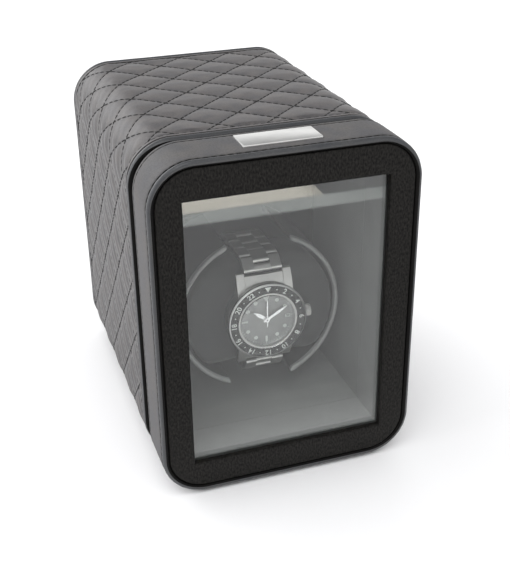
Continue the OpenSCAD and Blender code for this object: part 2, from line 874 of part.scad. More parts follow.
module spacer_pillars() {
    color(brass) for (place = pillar_places) difference() {
        union() {
            rod(gear_plate_back, bridge_y, pillar_r, place[1], place[0]);
            rod(ledge_y, gear_plate_back, screw_r, place[1], place[0]);
        }
        rod(bridge_y - pillar_thread, bridge_y + cut, screw_r, place[1], place[0]);
    }
}

module bridge_plate() {
    top = motor_z + gearbox_r + bridge_margin / 6;
    bottom = rotor_z - pillar_offset - bridge_margin;
    color(steel) difference() {
        slab(bridge_y, bridge_back, (top + bottom) / 2)
            rounded(2 * (pillar_offset + bridge_margin), top - bottom, plate_corner_r);
        rod(bridge_y - cut, bridge_back + cut, bush_r, rotor_z);
        rod(bridge_y - cut, bridge_back + cut, motor_boss_r, motor_z);
        for (place = pillar_places)
            rod(bridge_y - cut, bridge_back + cut, screw_r, place[1], place[0]);
        for (side = [-1, 1])
            rod(bridge_y - cut, bridge_back + cut, screw_r, motor_z, side * motor_screw_offset);
    }
}

module drive_screws() {
    color(steel) {
        for (place = plate_screw_places)
            screw(gear_plate_back, plate_screw_len, place[1], place[0]);
        for (place = pillar_places)
            screw(bridge_back, plate_steel_t + pillar_thread - slack, place[1], place[0]);
        for (side = [-1, 1])
            screw(bridge_y, plate_steel_t + motor_thread - slack, motor_z,
                side * motor_screw_offset, 1);
    }
}

// A flanged bronze bush, open for the shaft
module bush(from, to, flange_y) {
    color(brass) difference() {
        union() {
            rod(from, to, bush_r, rotor_z);
            rod(flange_y, flange_y + bush_flange_t, bush_flange_r, rotor_z);
        }
        rod(from - cut, to + bush_flange_t + cut, shaft_r + running_fit, rotor_z);
    }
}

module front_bush() {
    bush(back_panel_y, gear_plate_back + bush_flange_t, gear_plate_back);
}

module rear_bush() {
    bush(bridge_y, rear_bush_back, bridge_back);
}

module gearmotor() {
    color(steel) difference() {
        union() {
            rod(bridge_back, gearbox_back, gearbox_r, motor_z);
            rod(gearbox_back, can_back, can_r, motor_z);
            rod(bridge_back - motor_boss_len, bridge_back, motor_boss_r, motor_z);
            rod(can_back, can_back + can_boss_len, can_boss_r, motor_z);
        }
        rod(bridge_back - motor_boss_len - cut, bridge_back + motor_socket,
            motor_shaft_r + running_fit, motor_z);
        for (side = [-1, 1])
            rod(bridge_back - cut, bridge_back + motor_thread, screw_r, motor_z,
                side * motor_screw_offset);
    }
}

// Two insulated wires in one sleeve, down from the motor and back to the board
module motor_lead() {
    bend_y = board_y - connector_t - lead_bend;
    bend_z = connector_z + lead_bend;
    color(lead_red) {
        translate([0, front + bend_y - lead_bend, bend_z])
            cylinder(h = motor_z - can_r - bend_z, r = lead_r);
        translate([0, front + bend_y, bend_z]) rotate([90, 0, 90]) rotate([0, 0, 180])
            rotate_extrude(angle = 90) translate([lead_bend, 0]) circle(lead_r);
        rod(bend_y, board_y - connector_t, lead_r, connector_z);
    }
}

// The involute flank of a gear tooth: polar points from the root out to the tip
function involute(base, r) = sqrt(max(pow(r / base, 2) - 1, 0)) * 180 / PI
    - acos(min(base / r, 1));
function tooth(teeth) =
    let (r = gear_module * teeth / 2, base = r * cos(pressure),
        tip = r + addendum * gear_module, root = r - dedendum * gear_module,
        half = 90 / teeth - gear_backlash / 4 / r * 180 / PI + involute(base, r),
        low = max(base, root), points = 4,
        flank = [for (k = [0 : points]) let (q = low + (tip - low) * k / points)
            [q, half - involute(base, q)]])
    concat([[root, -half]], [for (f = flank) [f[0], -f[1]]],
        [for (k = [points : -1 : 0]) flank[k]], [[root, half]]);
function gear_outline(teeth, phase) = [for (k = [0 : teeth - 1])
    each [for (p = tooth(teeth)) let (a = phase + 360 * k / teeth + p[1]) p[0] * [cos(a), sin(a)]]];

module gear(teeth, phase, from, to, z) {
    slab(from, to, z) polygon(gear_outline(teeth, phase));
}

// A moulded wheel with a thin web and six round holes
module drive_gear() {
    web_inset = (gear_w - gear_web_t) / 2;
    rim_in = drive_r - gear_rim_t;
    hole_at = (rim_in + gear_hub_r) / 2;
    color(white) difference() {
        union() {
            gear(drive_teeth, 90, gear_y, gear_y + gear_w, rotor_z);
            rod(gear_y, gear_hub_y, gear_hub_r, rotor_z);
        }
        for (face = [gear_y - cut, gear_y + gear_w - web_inset])
            difference() {
                rod(face, face + web_inset + cut, rim_in, rotor_z);
                rod(face - cut, face + web_inset + 2 * cut, gear_hub_r, rotor_z);
            }
        for (k = [0 : gear_holes - 1])
            rod(gear_y - cut, gear_y + gear_w + cut, gear_hole_r,
                rotor_z + hole_at * cos(360 / gear_holes * k), hole_at * sin(360 / gear_holes * k));
        rod(gear_y - cut, gear_hub_y + cut, shaft_r, rotor_z);
    }
}

// The motor's output shaft carries its pinion
module motor_pinion() {
    color(white) {
        gear(pinion_teeth, 270 + 180 / pinion_teeth, gear_y, gear_y + gear_w, motor_z);
        rod(gear_y + gear_w, bridge_y - pinion_gap, pinion_hub_r, motor_z);
        rod(bridge_y - pinion_gap, bridge_back + motor_shaft_len, motor_shaft_r, motor_z);
    }
}

module rotor_shaft() {
    color(steel) difference() {
        rod(shaft_front_y, shaft_end_y, shaft_r, rotor_z);
        difference() {
            rod(clip_y, clip_y + clip_t, shaft_r + cut, rotor_z);
            rod(clip_y - cut, clip_y + clip_t + cut, shaft_r - clip_depth, rotor_z);
        }
    }
}

module shaft_clip() {
    color(steel) difference() {
        rod(clip_y, clip_y + clip_t, clip_r, rotor_z);
        rod(clip_y - cut, clip_y + clip_t + cut, shaft_r - clip_depth, rotor_z);
        slab(clip_y - cut, clip_y + clip_t + cut, rotor_z - clip_r)
            square([2 * (shaft_r - clip_depth) * 0.7, 2 * clip_r], center = true);
    }
}

// ----------------------------------------------------------------- rotor

// A quarter-round corner between an axis and a floor, as a profile
module corner_profile(r, from, to, bend) {
    translate([0, from]) square([r, to - bend - from]);
    translate([0, to - bend - cut]) square([r - bend, bend + cut]);
    translate([r - bend, to - bend]) circle(bend);
}

module notch(from, to) {
    slab(from, to, rotor_z) square([notch_w, 2 * cup_r + 2 * cut], center = true);
}

// Two curved cheeks on a ribbed disc, with a notch above and below
module rotor_cup() {
    color(cup_grey) {
        difference() {
            turned() difference() {
                corner_profile(cup_r, rim_y + rim_t, cup_base_y, cup_fillet + cup_t);
                translate([-cut, 0])
                    corner_profile(cup_bore_r + cut, rim_y, cup_floor_y, cup_fillet);
            }
            notch(rim_y, cup_floor_y);
            rod(cup_floor_y - cut, cup_base_y + cut, shaft_r, rotor_z);
        }
        difference() {
            union() {
                rod(cup_base_y, hub_y, hub_r, rotor_z);
                for (k = [0 : rib_count - 1])
                    translate([0, front + cup_base_y, rotor_z]) rotate([0, 360 / rib_count * k, 0])
                        translate([0, 0, -rib_t / 2])
                            cube([cup_r - cup_fillet - cup_t - rib_t, hub_len - rib_gap, rib_t]);
            }
            rod(cup_floor_y, hub_y + cut, shaft_r, rotor_z);
        }
    }
}

module cup_rim() {
    color(rim_grey) difference() {
        turned() {
            translate([cup_r - cup_t / 2, rim_y + cup_t / 2]) circle(cup_t / 2);
            translate([cup_bore_r, rim_y + cup_t / 2]) square([cup_t, rim_t - cup_t / 2]);
        }
        notch(rim_y - cut, rim_y + rim_t + cut);
    }
}

// --------------------------------------------------------------- cushion

module cushion() {
    color(cup_grey) intersection() {
        across(-cup_bore_r, cup_bore_r) translate([cushion_mid_y, rotor_z])
            rounded(cushion_d, cushion_h, cushion_r);
        rod(cushion_y - cut, cushion_y + cushion_d + cut, cup_bore_r - cushion_fit, rotor_z);
    }
}

// ----------------------------------------------------------------- watch

// One lug: it narrows from the side of the case to its tip
module lug_outline() {
    inner = bracelet_w / 2 + lug_gap;
    tip = bracelet_w / 2 + lug_tip_w;
    shoulder = case_r * 0.7;
    side = sqrt(pow(case_r, 2) - pow(shoulder, 2)) + 2 * slack;
    polygon([[inner, lug_root], [side, lug_root], [(side + tip) / 2 + slack, (shoulder + lug_reach) / 2],
        [tip, lug_reach], [inner, lug_reach]]);
}

// An outline that is drawn back as far as the caseback, with its front bent as the lugs are
module bent_back(sink, to) {
    intersection() {
        slab(case_front, to, watch_z) children();
        translate([0, front + lug_bend_y + sink, watch_z]) rotate([0, 90, 0])
            cylinder(h = 2 * case_r, r = lug_bend_r, center = true);
    }
}

module watch_case() {
    crown_bore = crown_stem_len - crown_gap + slack;
    color(steel) difference() {
        union() {
            rod(case_front, case_back, case_r, watch_z);
            rod(case_back, cushion_y - slack, caseback_r, watch_z);
            rod(case_front - rehaut_h, case_front, rehaut_r, watch_z);
            for (x = [0, 1], z = [0, 1])
                bent_back(0, case_back - lug_lift) mirror([x, 0]) mirror([0, z]) lug_outline();
            translate([case_r - crown_guard_r, front + crown_y, watch_z]) rotate([0, 90, 0])
                cylinder(h = crown_guard_r + crown_gap - slack, r = crown_guard_r);
        }
        rod(crystal_front, dial_y + dial_t, crystal_r + slack, watch_z);
        translate([case_r - crown_bore, front + crown_y, watch_z]) rotate([0, 90, 0])
            cylinder(h = 2 * crown_bore, r = crown_stem_r + running_fit);
    }
}

module watch_bezel() {
    inner = rehaut_r + running_fit;
    bottom = case_front - bezel_gap;
    top = bottom - bezel_h;
    color(black) turned(watch_z) polygon([
        [inner, bottom], [inner, top], [rehaut_r + bezel_edge, top - slack],
        [bezel_r - bezel_edge, bottom - bezel_h / 2], [bezel_r, bottom - bezel_h / 2 + slack],
        [bezel_r, bottom]]);
}

module watch_crystal() {
    color([0.8, 0.85, 0.9, 0.3]) rod(crystal_front, crystal_front + crystal_t, crystal_r, watch_z);
}

// Raised marks: a triangle at 12, bars at 6 and 9, a window at 3, dots between
module watch_dial() {
    color(black) {
        rod(dial_y, dial_y + dial_t, dial_r, watch_z);
        rod(hour_y - post_end, dial_y, hour_post_r, watch_z);
        rod(minute_y - post_end, hour_y - post_end, minute_post_r, watch_z);
        rod(second_y - post_end, minute_y - post_end, second_post_r, watch_z);
        slab(dial_y - mark_t, dial_y, watch_z) {
            polygon([[-1.5 * mark_w, dial_ring + mark_len / 2],
                [1.5 * mark_w, dial_ring + mark_len / 2], [0, dial_ring - mark_len / 2]]);
            for (k = [1, 2, 4, 5, 7, 8, 10, 11])
                rotate(-30 * k) translate([0, dial_ring]) circle(mark_r);
            for (k = [6, 9])
                rotate(-30 * k) translate([0, dial_ring]) square([mark_w, mark_len], center = true);
            translate([dial_ring, 0]) square(date_size, center = true);
        }
    }
}

// A hand: a boss, a tapering blade and a short tail, turned from 12 o'clock
module hand(y, post_r, form) {
    len = dial_r - form[0];
    width = form[1];
    tail = form[2];
    slab(y, y + hand_t, watch_z) difference() {
        rotate(-form[3]) union() {
            circle(post_r + hand_boss);
            polygon([[-width / 3, -tail], [width / 3, -tail], [width / 2, len * 0.6],
                [0, len], [-width / 2, len * 0.6]]);
        }
        circle(post_r + hand_fit);
    }
}

module hour_hand() {
    color(silver) hand(hour_y, hour_post_r, hour_hand_form);
}

module minute_hand() {
    color(silver) hand(minute_y, minute_post_r, minute_hand_form);
}

module second_hand() {
    color(silver) hand(second_y, second_post_r, second_hand_form);
}

module watch_crown() {
    color(steel) translate([case_r + crown_gap, front + crown_y, watch_z]) rotate([0, 90, 0]) {
        difference() {
            cylinder(h = crown_len, r = crown_r);
            for (k = [0 : crown_flutes - 1])
                rotate(360 / crown_flutes * k) translate([crown_r + crown_flute_r / 3, 0, -cut])
                    cylinder(h = crown_len + 2 * cut, r = crown_flute_r);
        }
        translate([0, 0, -crown_stem_len])
            cylinder(h = crown_stem_len + slack, r = crown_stem_r);
    }
}

// Place and slope on the upper half of the loop at a length s from the middle of the front
function loop_half(s) =
    s < loop_flat_h / 2 ? [-loop_w / 2, s, 90]
    : s < loop_flat_h / 2 + loop_bend
        ? let (a = (s - loop_flat_h / 2) / loop_bend * 90)
            [-loop_flat_w / 2 - loop_r * cos(a), loop_flat_h / 2 + loop_r * sin(a), 90 - a]
    : s < loop_flat_h / 2 + loop_bend + loop_flat_w
        ? [-loop_flat_w / 2 + s - loop_flat_h / 2 - loop_bend, loop_h / 2, 0]
    : s < loop_flat_h / 2 + 2 * loop_bend + loop_flat_w
        ? let (a = (s - loop_flat_h / 2 - loop_bend - loop_flat_w) / loop_bend * 90)
            [loop_flat_w / 2 + loop_r * sin(a), loop_flat_h / 2 + loop_r * cos(a), -a]
    : [loop_w / 2, loop_flat_h / 2 - (s - loop_flat_h / 2 - 2 * loop_bend - loop_flat_w), -90];
function loop_place(s) = s <= loop_len / 2 ? loop_half(s)
    : let (p = loop_half(loop_len - s)) [p[0], -p[1], 180 - p[2]];
// Length along the loop at a height above the rotor axis, on the front of the loop
function loop_at(z) = z <= loop_flat_h / 2 ? z
    : loop_flat_h / 2 + loop_r * asin(min((z - loop_flat_h / 2) / loop_r, 1)) * PI / 180;

module link(s, len, from, to) {
    place = loop_place(s);
    across(from, to) translate([cushion_mid_y + place[0], rotor_z + place[1]]) rotate(place[2]) {
        square([len - bracelet_t, bracelet_t], center = true);
        for (end = [-1, 1]) translate([end * (len - bracelet_t) / 2, 0]) circle(bracelet_t / 2);
    }
}

// Side links, with middle links half a pitch along, and an end link at each lug
module watch_bracelet() {
    start = loop_at(watch_z - rotor_z + end_link_reach) + bracelet_t / 4;
    stop = loop_len - loop_at(rotor_z - watch_z + end_link_reach) - bracelet_t / 4;
    count = floor((stop - start) / link_pitch);
    pitch = (stop - start) / count;
    middle = middle_link_w / 2;
    color(steel) {
        for (k = [0 : count - 1]) for (side = [-1, 1])
            link(start + (k + 0.5) * pitch, pitch - link_gap,
                side > 0 ? middle + link_side_gap : -bracelet_w / 2,
                side > 0 ? bracelet_w / 2 : -middle - link_side_gap);
        for (k = [1 : count - 1])
            link(start + k * pitch, pitch - link_gap, -middle, middle);
        for (s = [start + pitch / 4, stop - pitch / 4])
            link(s, pitch / 2 - link_gap, -middle, middle);
        for (side = [0, 1]) difference() {
            union() {
                bent_back(end_link_step, case_back - end_link_step) mirror([0, side])
                    translate([-bracelet_w / 2, end_link_root])
                        square([bracelet_w, end_link_reach - end_link_root]);
                bent_back(0, case_back - end_link_step) mirror([0, side])
                    translate([-middle, end_link_root])
                        square([middle_link_w, end_link_reach - end_link_root]);
            }
            rod(case_front, case_back, case_r + slack, watch_z);
        }
    }
}

// -------------------------------------------------------------- controls

module circuit_board() {
    color(green) difference() {
        slab(board_y, board_back, board_z) rounded(board_w, board_h, board_corner_r);
        for (place = board_places)
            rod(board_y - cut, board_back + cut, board_screw_r, place[1], place[0]);
    }
    color(black) {
        translate([chip_at[0], front + board_y - chip_size[1], board_z + chip_at[1]]) cube(chip_size);
        slab(board_y - connector_t, board_y, connector_z) square(connector_size, center = true);
    }
    color(silver) {
        for (can = cans) rod(board_y - can[1], board_y, can[0], board_z + can[3], can[2]);
        for (place = board_places) {
            rod(board_y - board_screw_head_t, board_y, board_screw_head_r, place[1], place[0]);
            rod(board_y, board_y + board_screw_len, board_screw_r, place[1], place[0]);
        }
    }
}

module power_inlet() {
    color(black) difference() {
        union() {
            rod(board_back, rear_face_y, inlet_r, control_z, inlet_x);
            rod(rear_face_y, rear_face_y + flange_t, inlet_flange_r, control_z, inlet_x);
        }
        difference() {
            rod(board_back + inlet_base_t, rear_face_y + flange_t + cut, inlet_hole_r, control_z,
                inlet_x);
            rod(board_back, rear_face_y + flange_t - inlet_pin_inset, inlet_pin_r, control_z,
                inlet_x);
        }
    }
}

module rocker_frame() {
    hole_w = rocker_w + 2 * rocker_gap;
    color(black) difference() {
        union() {
            slab(board_back, rear_face_y, control_z, rocker_x)
                square([rocker_w + 2 * rocker_wall, rocker_h + 2 * rocker_wall], center = true);
            slab(rear_face_y, rear_face_y + flange_t, control_z, rocker_x)
                rounded(rocker_w + 2 * rocker_wall + 2 * rocker_flange,
                    rocker_h + 2 * rocker_wall + 2 * rocker_flange, rocker_flange);
        }
        slab(rocker_floor_y, rear_face_y + flange_t + cut, control_z, rocker_x)
            square([hole_w, rocker_h], center = true);
        translate([rocker_x, front + rocker_axis_y, control_z]) rotate([0, 90, 0])
            cylinder(h = rocker_w + 2 * rocker_axle_room, r = rocker_axle_r + running_fit,
                center = true);
    }
}

// Shallow V on two stub axles, pressed in at the top; its ends are round about the axles
module power_rocker() {
    reach = rocker_h / 2 - rocker_gap;
    heel = rocker_crest;
    color(panel_black) translate([rocker_x, front + rocker_axis_y, control_z])
        rotate([rocker_tilt, 0, 0]) {
            intersection() {
                translate([-rocker_w / 2, 0, 0]) rotate([90, 0, 90]) linear_extrude(rocker_w)
                    polygon([[-heel, -heel], [-heel, heel], [-rocker_shoulder, reach],
                        [rocker_crest, reach], [rocker_dip, 0], [rocker_crest, -reach],
                        [-rocker_shoulder, -reach]]);
                rotate([0, 90, 0]) cylinder(h = 2 * rocker_w, r = reach, center = true);
            }
            rotate([0, 90, 0])
                cylinder(h = rocker_w + 2 * rocker_axle_out, r = rocker_axle_r, center = true);
        }
}

module selector_switch() {
    color(steel) difference() {
        union() {
            slab(board_back, board_back + selector_len, control_z, selector_x)
                square(selector_size, center = true);
            rod(board_back + selector_len, rear_face_y, selector_neck_r, control_z, selector_x);
        }
        rod(board_back + selector_base_t, rear_face_y + cut, selector_shaft_r + running_fit,
            control_z, selector_x);
    }
}

// A fluted knob with a pointer groove, on its shaft
module selector_knob() {
    knob_y = rear_face_y + knob_gap;
    knob_end = knob_y + knob_h;
    flute_at = knob_r + knob_flute_r / 3;
    color(panel_black) difference() {
        union() {
            rod(board_back + selector_base_t + slack, knob_y, selector_shaft_r, control_z,
                selector_x);
            rod(knob_y, knob_end - knob_edge, knob_r, control_z, selector_x);
            rod(knob_end - knob_edge, knob_end, knob_r - knob_edge, control_z, selector_x);
        }
        for (k = [0 : knob_flutes - 1])
            rod(knob_y + knob_edge, knob_end + cut, knob_flute_r,
                control_z + flute_at * cos(360 / knob_flutes * (k + 0.5)),
                selector_x + flute_at * sin(360 / knob_flutes * (k + 0.5)));
        slab(knob_end - knob_line[1], knob_end + cut, control_z + knob_r / 2, selector_x)
            square([knob_line[0], knob_r], center = true);
    }
}

module direction_switch() {
    color(steel) difference() {
        slab(board_back, rear_panel_y, control_z, slider_x)
            square([slider_slot + 2 * slider_wall, slider_stem + 2 * slider_wall], center = true);
        slab(rear_panel_y - slider_depth, rear_panel_y + cut, control_z, slider_x)
            square([slider_slot, slider_stem + 2 * slider_gap], center = true);
    }
}

module direction_slider() {
    cap_y = rear_face_y + slider_cap_gap;
    cap_end = cap_y + slider_cap_t;
    color(white) {
        slab(rear_panel_y - slider_depth + slider_gap, cap_y, control_z, slider_x)
            square(slider_stem, center = true);
        difference() {
            slab(cap_y, cap_end, control_z, slider_x) rounded(slider_cap, slider_cap, slider_cap_r);
            for (k = [-1 : 1])
                slab(cap_end - slider_groove, cap_end + cut, control_z,
                    slider_x + slider_cap / 4 * k)
                    square([slider_groove, slider_cap + cut], center = true);
        }
    }
}

module upper_door_leaf() { door_leaf(mid_z + hinge_offset); }
module lower_door_leaf() { door_leaf(mid_z - hinge_offset); }
module upper_body_leaf() { body_leaf(mid_z + hinge_offset); }
module lower_body_leaf() { body_leaf(mid_z - hinge_offset); }

door_frame();
door_leather();
door_piping();
front_panel();
door_lining();
glass_pane();
nameplate();
strike_plates();
upper_door_leaf();
lower_door_leaf();
door_hinge_screws();
body_shell();
quilted_cover();
base_felt();
feet();
front_roll();
rear_roll();
door_seal();
catch_magnets();
upper_body_leaf();
lower_body_leaf();
hinge_pins();
body_hinge_screws();
compartment_lining();
back_panel();
gear_plate();
spacer_pillars();
bridge_plate();
drive_screws();
front_bush();
rear_bush();
gearmotor();
motor_lead();
rear_panel();
rear_screws();
circuit_board();
power_inlet();
rocker_frame();
power_rocker();
selector_switch();
selector_knob();
direction_switch();
direction_slider();
rotor_cup();
cup_rim();
rotor_shaft();
drive_gear();
shaft_clip();
motor_pinion();
cushion();
watch_case();
watch_bezel();
watch_crystal();
watch_dial();
hour_hand();
minute_hand();
second_hand();
watch_crown();
watch_bracelet();
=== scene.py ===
"""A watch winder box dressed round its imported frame: leather, glass, lining and a watch."""
import math

import bmesh
import bpy
from mathutils import Matrix, Vector, noise


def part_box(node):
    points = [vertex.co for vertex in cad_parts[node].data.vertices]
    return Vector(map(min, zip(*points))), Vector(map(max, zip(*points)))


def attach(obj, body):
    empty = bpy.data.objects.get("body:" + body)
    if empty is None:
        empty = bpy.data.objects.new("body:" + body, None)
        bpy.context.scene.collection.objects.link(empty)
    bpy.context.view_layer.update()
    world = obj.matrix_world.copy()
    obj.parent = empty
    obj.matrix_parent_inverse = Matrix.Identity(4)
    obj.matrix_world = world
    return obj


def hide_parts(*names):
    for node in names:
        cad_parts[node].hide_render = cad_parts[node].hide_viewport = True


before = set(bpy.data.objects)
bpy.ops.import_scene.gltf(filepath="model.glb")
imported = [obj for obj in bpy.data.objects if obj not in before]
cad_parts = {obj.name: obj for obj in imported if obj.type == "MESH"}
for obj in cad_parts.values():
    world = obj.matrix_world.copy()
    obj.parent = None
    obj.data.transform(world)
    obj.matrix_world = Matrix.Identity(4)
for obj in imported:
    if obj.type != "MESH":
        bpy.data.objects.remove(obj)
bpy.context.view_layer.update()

MM = 0.001


# ---------------------------------------------------------------- sizes from the frame


def node_box(name):
    """The corners of a node, in millimetres."""
    low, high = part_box(name)
    return low / MM, high / MM


# Depths are measured from the front of the piping, which is the front of the whole box
FRONT = round(node_box("door_piping")[0].y, 1)
door_low, door_high = node_box("door_leather")
BOX_W = round(door_high.x - door_low.x, 2)
BOX_H = round(door_high.z - door_low.z, 2)
MID_Z = (door_low.z + door_high.z) / 2
DOOR_D = round(door_high.y - FRONT, 2)
PIPING_R = (door_low.y - FRONT) / 2
CORNER_R = 22
SKIN_T = 1.2

lining_low, lining_high = node_box("compartment_lining")
LINING_T = 4
WINDOW_W = lining_high.x - lining_low.x - 2 * LINING_T
WINDOW_H = lining_high.z - lining_low.z - 2 * LINING_T
WINDOW_Z = (lining_low.z + lining_high.z) / 2
GLASS_FRONT = node_box("glass_pane")[0].y - FRONT

cover_low, cover_high = node_box("quilted_cover")
COVER_FRONT = cover_low.y - FRONT
COVER_BACK = cover_high.y - FRONT
BODY_W = 132
BODY_H = 171.4

roll_low, roll_high = node_box("front_roll")
ROLL_R = (roll_high.y - roll_low.y) / 2
ROLL_W = roll_high.x - roll_low.x
ROLL_H = roll_high.z - roll_low.z
ROLL_FRONT = roll_low.y - FRONT
REAR_ROLL_FRONT = node_box("rear_roll")[0].y - FRONT

ROTOR_Z = sum(corner.z for corner in node_box("rotor_cup")) / 2
CUP_R = node_box("rotor_cup")[1].x
CUP_T = 2.5
RIM_FRONT = node_box("cup_rim")[0].y - FRONT
NOTCH_W = 34

WATCH_Z = sum(corner.z for corner in node_box("watch_bezel")) / 2
BEZEL_R = node_box("watch_bezel")[1].x
BEZEL_FRONT = node_box("watch_bezel")[0].y - FRONT
DIAL_R = node_box("watch_dial")[1].x
DIAL_T = 0.6
DIAL_FRONT = node_box("watch_dial")[1].y - FRONT - DIAL_T

# The quilting repeats the source's own values
COVER_T = 2.4
QUILT_HALF_W = 14.5
QUILT_HALF_D = 13.9
QUILT_SHIFT = -4
QUILT_ROW = 62.3
QUILT_FLAT = BODY_W / 2 - CORNER_R
QUILT_SIDE = BODY_H - 2 * CORNER_R
QUILT_BEND = math.pi * CORNER_R / 2
QUILT_END = QUILT_FLAT + 2 * QUILT_BEND + QUILT_SIDE


# ---------------------------------------------------------------- materials


def add_node(tree, kind, inputs=None, **settings):
    """A shader node with its settings and input values or links."""
    item = tree.nodes.new(kind)
    for key, value in settings.items():
        setattr(item, key, value)
    for key, value in (inputs or {}).items():
        if isinstance(value, bpy.types.NodeSocket):
            tree.links.new(value, item.inputs[key])
        else:
            item.inputs[key].default_value = value
    return item


SOCKETS = {
    "ior": "IOR",
    "specular": "Specular IOR Level",
    "transmission": "Transmission Weight",
    "sheen": "Sheen Weight",
}


def new_material(name, **sockets):
    """A material and its Principled shader, with the sockets that are even all over."""
    made = bpy.data.materials.new(name)
    made.use_nodes = True
    shader = made.node_tree.nodes["Principled BSDF"]
    for key, value in sockets.items():
        shader.inputs[SOCKETS.get(key, key.title())].default_value = value
    return made, made.node_tree, shader


def rgb(value, tint=(1, 1, 1)):
    """A grey of a value, times a tint, with full alpha."""
    return tuple(value * t for t in tint) + (1,)


def ramp_colour(tree, factor, low, high, spread=(0.3, 0.7)):
    """A colour that goes from low to high while the factor crosses the spread."""
    item = add_node(tree, "ShaderNodeValToRGB", {"Fac": factor})
    item.color_ramp.elements[0].position = spread[0]
    item.color_ramp.elements[0].color = low
    item.color_ramp.elements[1].position = spread[1]
    item.color_ramp.elements[1].color = high
    return item.outputs["Color"]


def object_coordinates(tree, stretch=(1, 1, 1)):
    """The piece's own coordinates, in metres, stretched along its axes."""
    coords = add_node(tree, "ShaderNodeTexCoord").outputs["Object"]
    mapped = add_node(tree, "ShaderNodeMapping", {"Vector": coords, "Scale": stretch})
    return mapped.outputs["Vector"]


def noise_value(tree, coords, scale, detail):
    """Cloudy noise from 0 to 1."""
    inputs = {"Vector": coords, "Scale": scale, "Detail": detail}
    return add_node(tree, "ShaderNodeTexNoise", inputs).outputs["Fac"]


def multiplied(tree, first, second):
    """The product of two colours."""
    inputs = {"Factor": 1.0, "A": first, "B": second}
    mix = add_node(tree, "ShaderNodeMix", inputs, data_type="RGBA", blend_type="MULTIPLY")
    return mix.outputs[2]


def uneven_gloss(tree, shader, factor, low, high):
    """The roughness goes from low to high with a factor."""
    inputs = {"Value": factor, "To Min": low, "To Max": high}
    gloss = add_node(tree, "ShaderNodeMapRange", inputs)
    tree.links.new(gloss.outputs["Result"], shader.inputs["Roughness"])


def bump(tree, shader, height, depth, strength=1.0):
    """The shader's normal follows a height that spans a depth in millimetres."""
    inputs = {"Height": height, "Distance": depth * MM, "Strength": strength}
    made = add_node(tree, "ShaderNodeBump", inputs)
    tree.links.new(made.outputs["Normal"], shader.inputs["Normal"])


CLOUDS = (0.35, 0.65)
FINE_GRAIN = 3.5
FINE_SHARE = 0.35


def leather(name, tone, tint, depth, specular, grain=0.75, rough=(0.42, 0.6), stretch=(1, 1, 1),
            reads_painted_shade=False, mottle=(0.88, 1.1), mottle_size=11):
    """Grained leather: pebbles between creases, a cloudy tone, an uneven gloss and, if asked,
    painted shade in seams, hems and creases.
    """
    made, tree, shader = new_material(name, specular=specular)
    coords = object_coordinates(tree, stretch)
    inputs = {"Vector": coords, "Scale": 1 / (grain * MM)}
    cells = add_node(tree, "ShaderNodeTexVoronoi", inputs, feature="SMOOTH_F1")
    cells.inputs["Smoothness"].default_value = 0.5
    pebbles = cells.outputs["Distance"]
    fine = noise_value(tree, coords, FINE_GRAIN / (grain * MM), 3)
    cloud = noise_value(tree, coords, 1 / (mottle_size * MM), 4)
    inputs = {"Factor": FINE_SHARE, "A": pebbles, "B": fine}
    mixed = add_node(tree, "ShaderNodeMix", inputs)
    bump(tree, shader, mixed.outputs["Result"], depth)
    pebble = ramp_colour(tree, pebbles, rgb(tone * 1.08, tint), rgb(tone * 0.86, tint))
    cool, warm = rgb(mottle[0], (0.98, 1, 1.05)), rgb(mottle[1], (1.02, 1, 0.97))
    colour = multiplied(tree, pebble, ramp_colour(tree, cloud, cool, warm, CLOUDS))
    if reads_painted_shade:
        # Painted shade: the colour darkens to a fifth where the piece's shade attribute reaches 1
        shaded = add_node(tree, "ShaderNodeAttribute", attribute_name="painted_shade").outputs["Fac"]
        colour = multiplied(tree, colour, ramp_colour(tree, shaded, rgb(1), rgb(0.2), (0.05, 1)))
    tree.links.new(colour, shader.inputs["Base Color"])
    uneven_gloss(tree, shader, cloud, *rough)
    return made


def suede(name, tone, tint, nap=0.25, sheen=0.15):
    """Soft lining cloth: a short nap in patches, dull, with a little sheen."""
    made, tree, shader = new_material(name, specular=0.15, sheen=sheen, roughness=0.95)
    coords = object_coordinates(tree)
    fine = noise_value(tree, coords, 1 / (nap * MM), 4)
    patch = noise_value(tree, coords, 60, 3)
    colour = ramp_colour(tree, fine, rgb(tone * 0.96, tint), rgb(tone * 1.04, tint))
    cloudy = ramp_colour(tree, patch, rgb(0.94), rgb(1.05), CLOUDS)
    tree.links.new(multiplied(tree, colour, cloudy), shader.inputs["Base Color"])
    bump(tree, shader, fine, 0.004, 0.5)
    return made


def moulded(name, tone, tint=(1, 1, 1), *, rough, texture=0.35, depth=0.012, specular=0.5):
    """Moulded plastic with a fine spark-eroded texture."""
    made, tree, shader = new_material(name, specular=specular)
    coords = object_coordinates(tree)
    fine = noise_value(tree, coords, 1 / (texture * MM), 2)
    patch = noise_value(tree, coords, 45, 3)
    colour = ramp_colour(tree, patch, rgb(tone * 0.93, tint), rgb(tone * 1.07, tint))
    tree.links.new(colour, shader.inputs["Base Color"])
    uneven_gloss(tree, shader, patch, rough * 0.85, rough * 1.15)
    bump(tree, shader, fine, depth)
    return made


def metal(name, tone, tint=(1, 1, 1), *, rough, brush=(1, 1, 1)):
    """Metal with fine brushing along one axis and faint smears."""
    made, tree, shader = new_material(name, metallic=1.0)
    lines = noise_value(tree, object_coordinates(tree, brush), 9000, 2)
    smears = noise_value(tree, object_coordinates(tree), 110, 3)
    colour = ramp_colour(tree, smears, rgb(tone * 0.94, tint), rgb(tone * 1.04, tint))
    tree.links.new(colour, shader.inputs["Base Color"])
    uneven_gloss(tree, shader, lines, rough * 0.7, rough * 1.3)
    bump(tree, shader, lines, 0.001)
    return made


